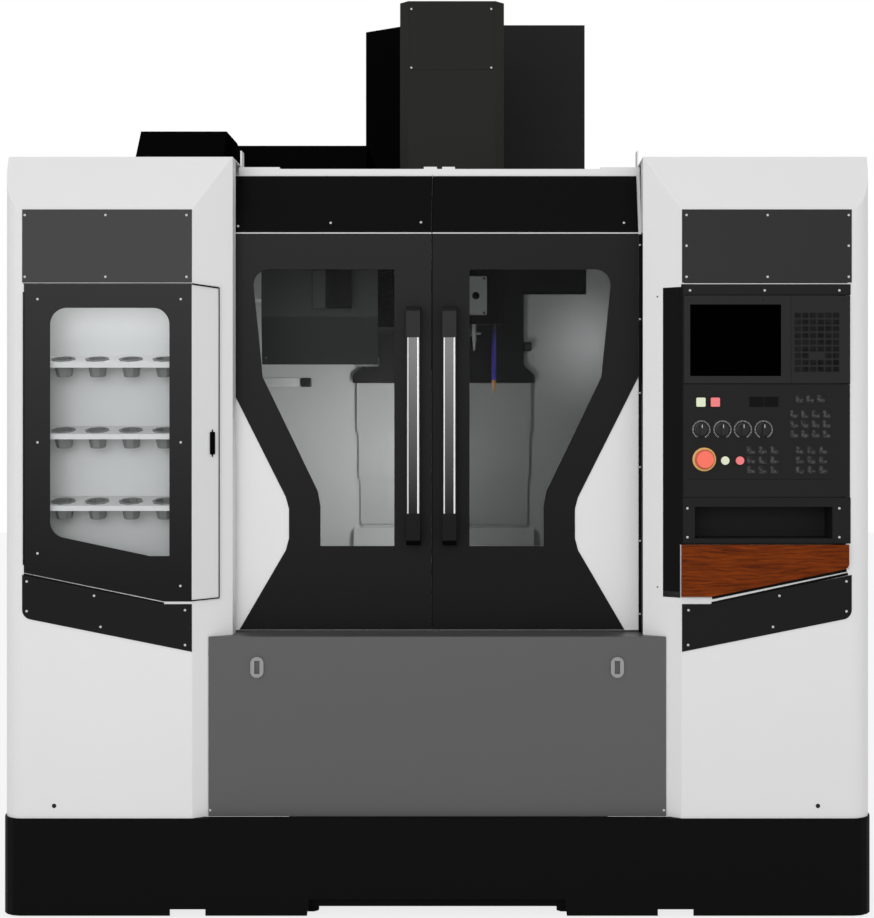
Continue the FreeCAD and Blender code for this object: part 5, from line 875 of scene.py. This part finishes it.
port_white = painted("port_white", paint(228), 0.45, 0.3)
port_place = (80.3, 580.0, 1689.9)
port_outline = dense(rounded(100.7, 116.3, 3, 3))
port_plate = holed(port_outline, np.array((17.2, 0.0)), 11.5, 2.0)
piece("head_port_plate", mount(port_plate, port_place), port_white, "head")
port_screws = [(122.5, 578, 1741.5), (122.5, 578, 1638)]
piece("head_port_screws", mount(turned(button_head, 12), port_screws), latch_black, "head")
name_plate = pad(rounded(258, 203, 2, 3), 1.2, 0.5)
piece("head_name_plate", mount(name_plate, (25.0, 580.0, 2473.0)), head_black, "head")
name_screws = [(-97, 578.8, 2554), (144, 578.8, 2554), (-97, 578.8, 2377), (144, 578.8, 2377)]
piece("head_name_screws", mount(turned(button_head, 12), name_screws), screw_zinc, "head")

# %% [markdown]
# ## Inside the working room
#
# A tool probe stands on a short arm under the tool changer, and a cable gland sits at the side of the
# chip apron behind the head.

# %% Probe and gland
probe_grey = painted("probe_grey", paint(205), 0.5, 0.2)
piece("probe_arm", mount(pad(rounded(330, 26, 3), 22.0, 1.5), (-610.0, 712.0, 1433.5)), probe_grey, "frame")
piece("probe_post", mount(pad(rounded(30, 62, 3), 30.0, 1.5), (-730.0, 722.0, 1456.0)), probe_grey, "frame")
piece("probe_head", mount(pad(rounded(31, 28, 4), 28.0, 2.0), (-428.5, 715.0, 1432.0)), dial_black, "frame")
piece("cable_gland", mount(pad(rounded(28, 31, 5), 24.0, 3.0), (270.0, 1292.0, 1573.0)), dial_black, "head")

# %% [markdown]
# ## The camera
#
# The camera stands 4.09 m in front of the machine at eye height and looks straight at it. The picture was
# framed off its own axis, which the two shifts repeat.

# %% Camera
camera_data = bpy.data.cameras.new("camera")
camera_data.sensor_width = 36
camera_data.lens = 60.784
camera_data.shift_x = -0.0577
camera_data.shift_y = -0.0338
to_the_right, distance, eye_height = 0.140, 4.093, 1.291
camera = bpy.data.objects.new("camera", camera_data)
camera.location = (to_the_right, FRONT - distance, eye_height)
camera.rotation_euler = (math.radians(90), 0, 0)
bpy.context.scene.collection.objects.link(camera)
bpy.context.scene.camera = camera
print("camera", distance, "m in front, lens", round(camera_data.lens, 3), "mm")

# %% [markdown]
# ## A white room
#
# The background is plain white in the picture, yet the machine must not drown in light. Light Path tells
# rays apart: what the camera, a mirror or a pane sees is a full white, and what lights the surfaces is a
# calmer grey.

# %% World
SEEN = ("Is Camera Ray", "Is Glossy Ray", "Is Transmission Ray")


def seen_share(graph):
    """1 for rays from the camera, a mirror or a pane, and 0 for rays that light a surface."""
    camera_ray, glossy, through = graph.node("ShaderNodeLightPath").beside(*SEEN)
    return camera_ray.math("MAXIMUM", glossy).math("MAXIMUM", through)


room_level = 0.74
world = bpy.data.worlds.new("world")
world.use_nodes = True
room = Graph(world.node_tree)
background = room.tree.nodes["Background"]
feed(room.tree, background.inputs["Color"], (1.0, 1.0, 1.0))
feed(room.tree, background.inputs["Strength"], seen_share(room) * (1 - room_level) + room_level)
bpy.context.scene.world = world
print("room level", room_level)

# %% [markdown]
# ## The floor
#
# A studio sweep: a matt white floor that runs out of the picture. Four fifths of what the camera sees of
# it is even white light and the rest is real paint, which is what takes the machine's shadow.

# %% Floor
even_share = 0.8
floor_paint = Surface("floor_white").set(Base_Color=(0.8, 0.8, 0.8), Roughness=0.9)
glow = floor_paint.node("ShaderNodeEmission", Color=(1.0, 1.0, 1.0), Strength=1.0)
floor_paint.mixed_with(seen_share(floor_paint) * even_share, second=glow)

half_floor = 14.0
corners = [(x * half_floor, y * half_floor, 0) for x, y in ((-1, -1), (1, -1), (1, 1), (-1, 1))]
floor_mesh = bpy.data.meshes.new("floor")
floor_mesh.from_pydata(corners, [], [(0, 1, 2, 3)])
floor_mesh.materials.append(floor_paint.material)
floor = bpy.data.objects.new("floor", floor_mesh)
bpy.context.scene.collection.objects.link(floor)
print("floor", 2 * half_floor, "m wide")

# %% [markdown]
# ## Lamps
#
# One large soft lamp hangs in front and above. Small lamps light the working room, as the real machine's
# own lamps do, brighter on the side of the tool changer.

# %% Lamps


def soft_lamp(name, place, aim, width, height, power, spread=180):
    """A rectangular area lamp at a place in metres, turned towards its aim; power in watts."""
    data = bpy.data.lights.new(name, "AREA")
    data.spread = math.radians(spread)
    data.shape = "RECTANGLE"
    data.size = width
    data.size_y = height
    data.energy = power
    lamp = bpy.data.objects.new(name, data)
    lamp.location = place
    lamp.rotation_euler = (Vector(aim) - Vector(place)).to_track_quat("-Z", "Y").to_euler()
    bpy.context.scene.collection.objects.link(lamp)
    return lamp


soft_lamp("key_lamp", (-0.7, -6.5, 2.3), (0, 0, 1.2), 4.0, 2.5, 90)
soft_lamp("left_room_lamp", (-0.06, -0.56, 1.22), (-0.42, 0.25, 1.34), 0.12, 0.30, 4.0)
soft_lamp("right_room_lamp", (0.49, -0.25, 1.66), (0.49, 0.25, 1.58), 0.08, 0.08, 0.16, 50)
soft_lamp("right_low_lamp", (0.40, -0.70, 1.55), (0.53, -0.10, 1.38), 0.15, 0.12, 0.9)
soft_lamp("cabinet_lamp", (-0.862, -1.030, 1.655), (-0.862, -0.975, 1.20), 0.38, 0.02, 0.2)
soft_lamp("cabinet_glow", (-0.862, FRONT + 0.008, 1.27), (-0.862, 0.0, 1.27), 0.34, 0.66, 0.18)
bpy.context.scene.view_settings.view_transform = "Standard"
print("lamps", len(bpy.data.lights))
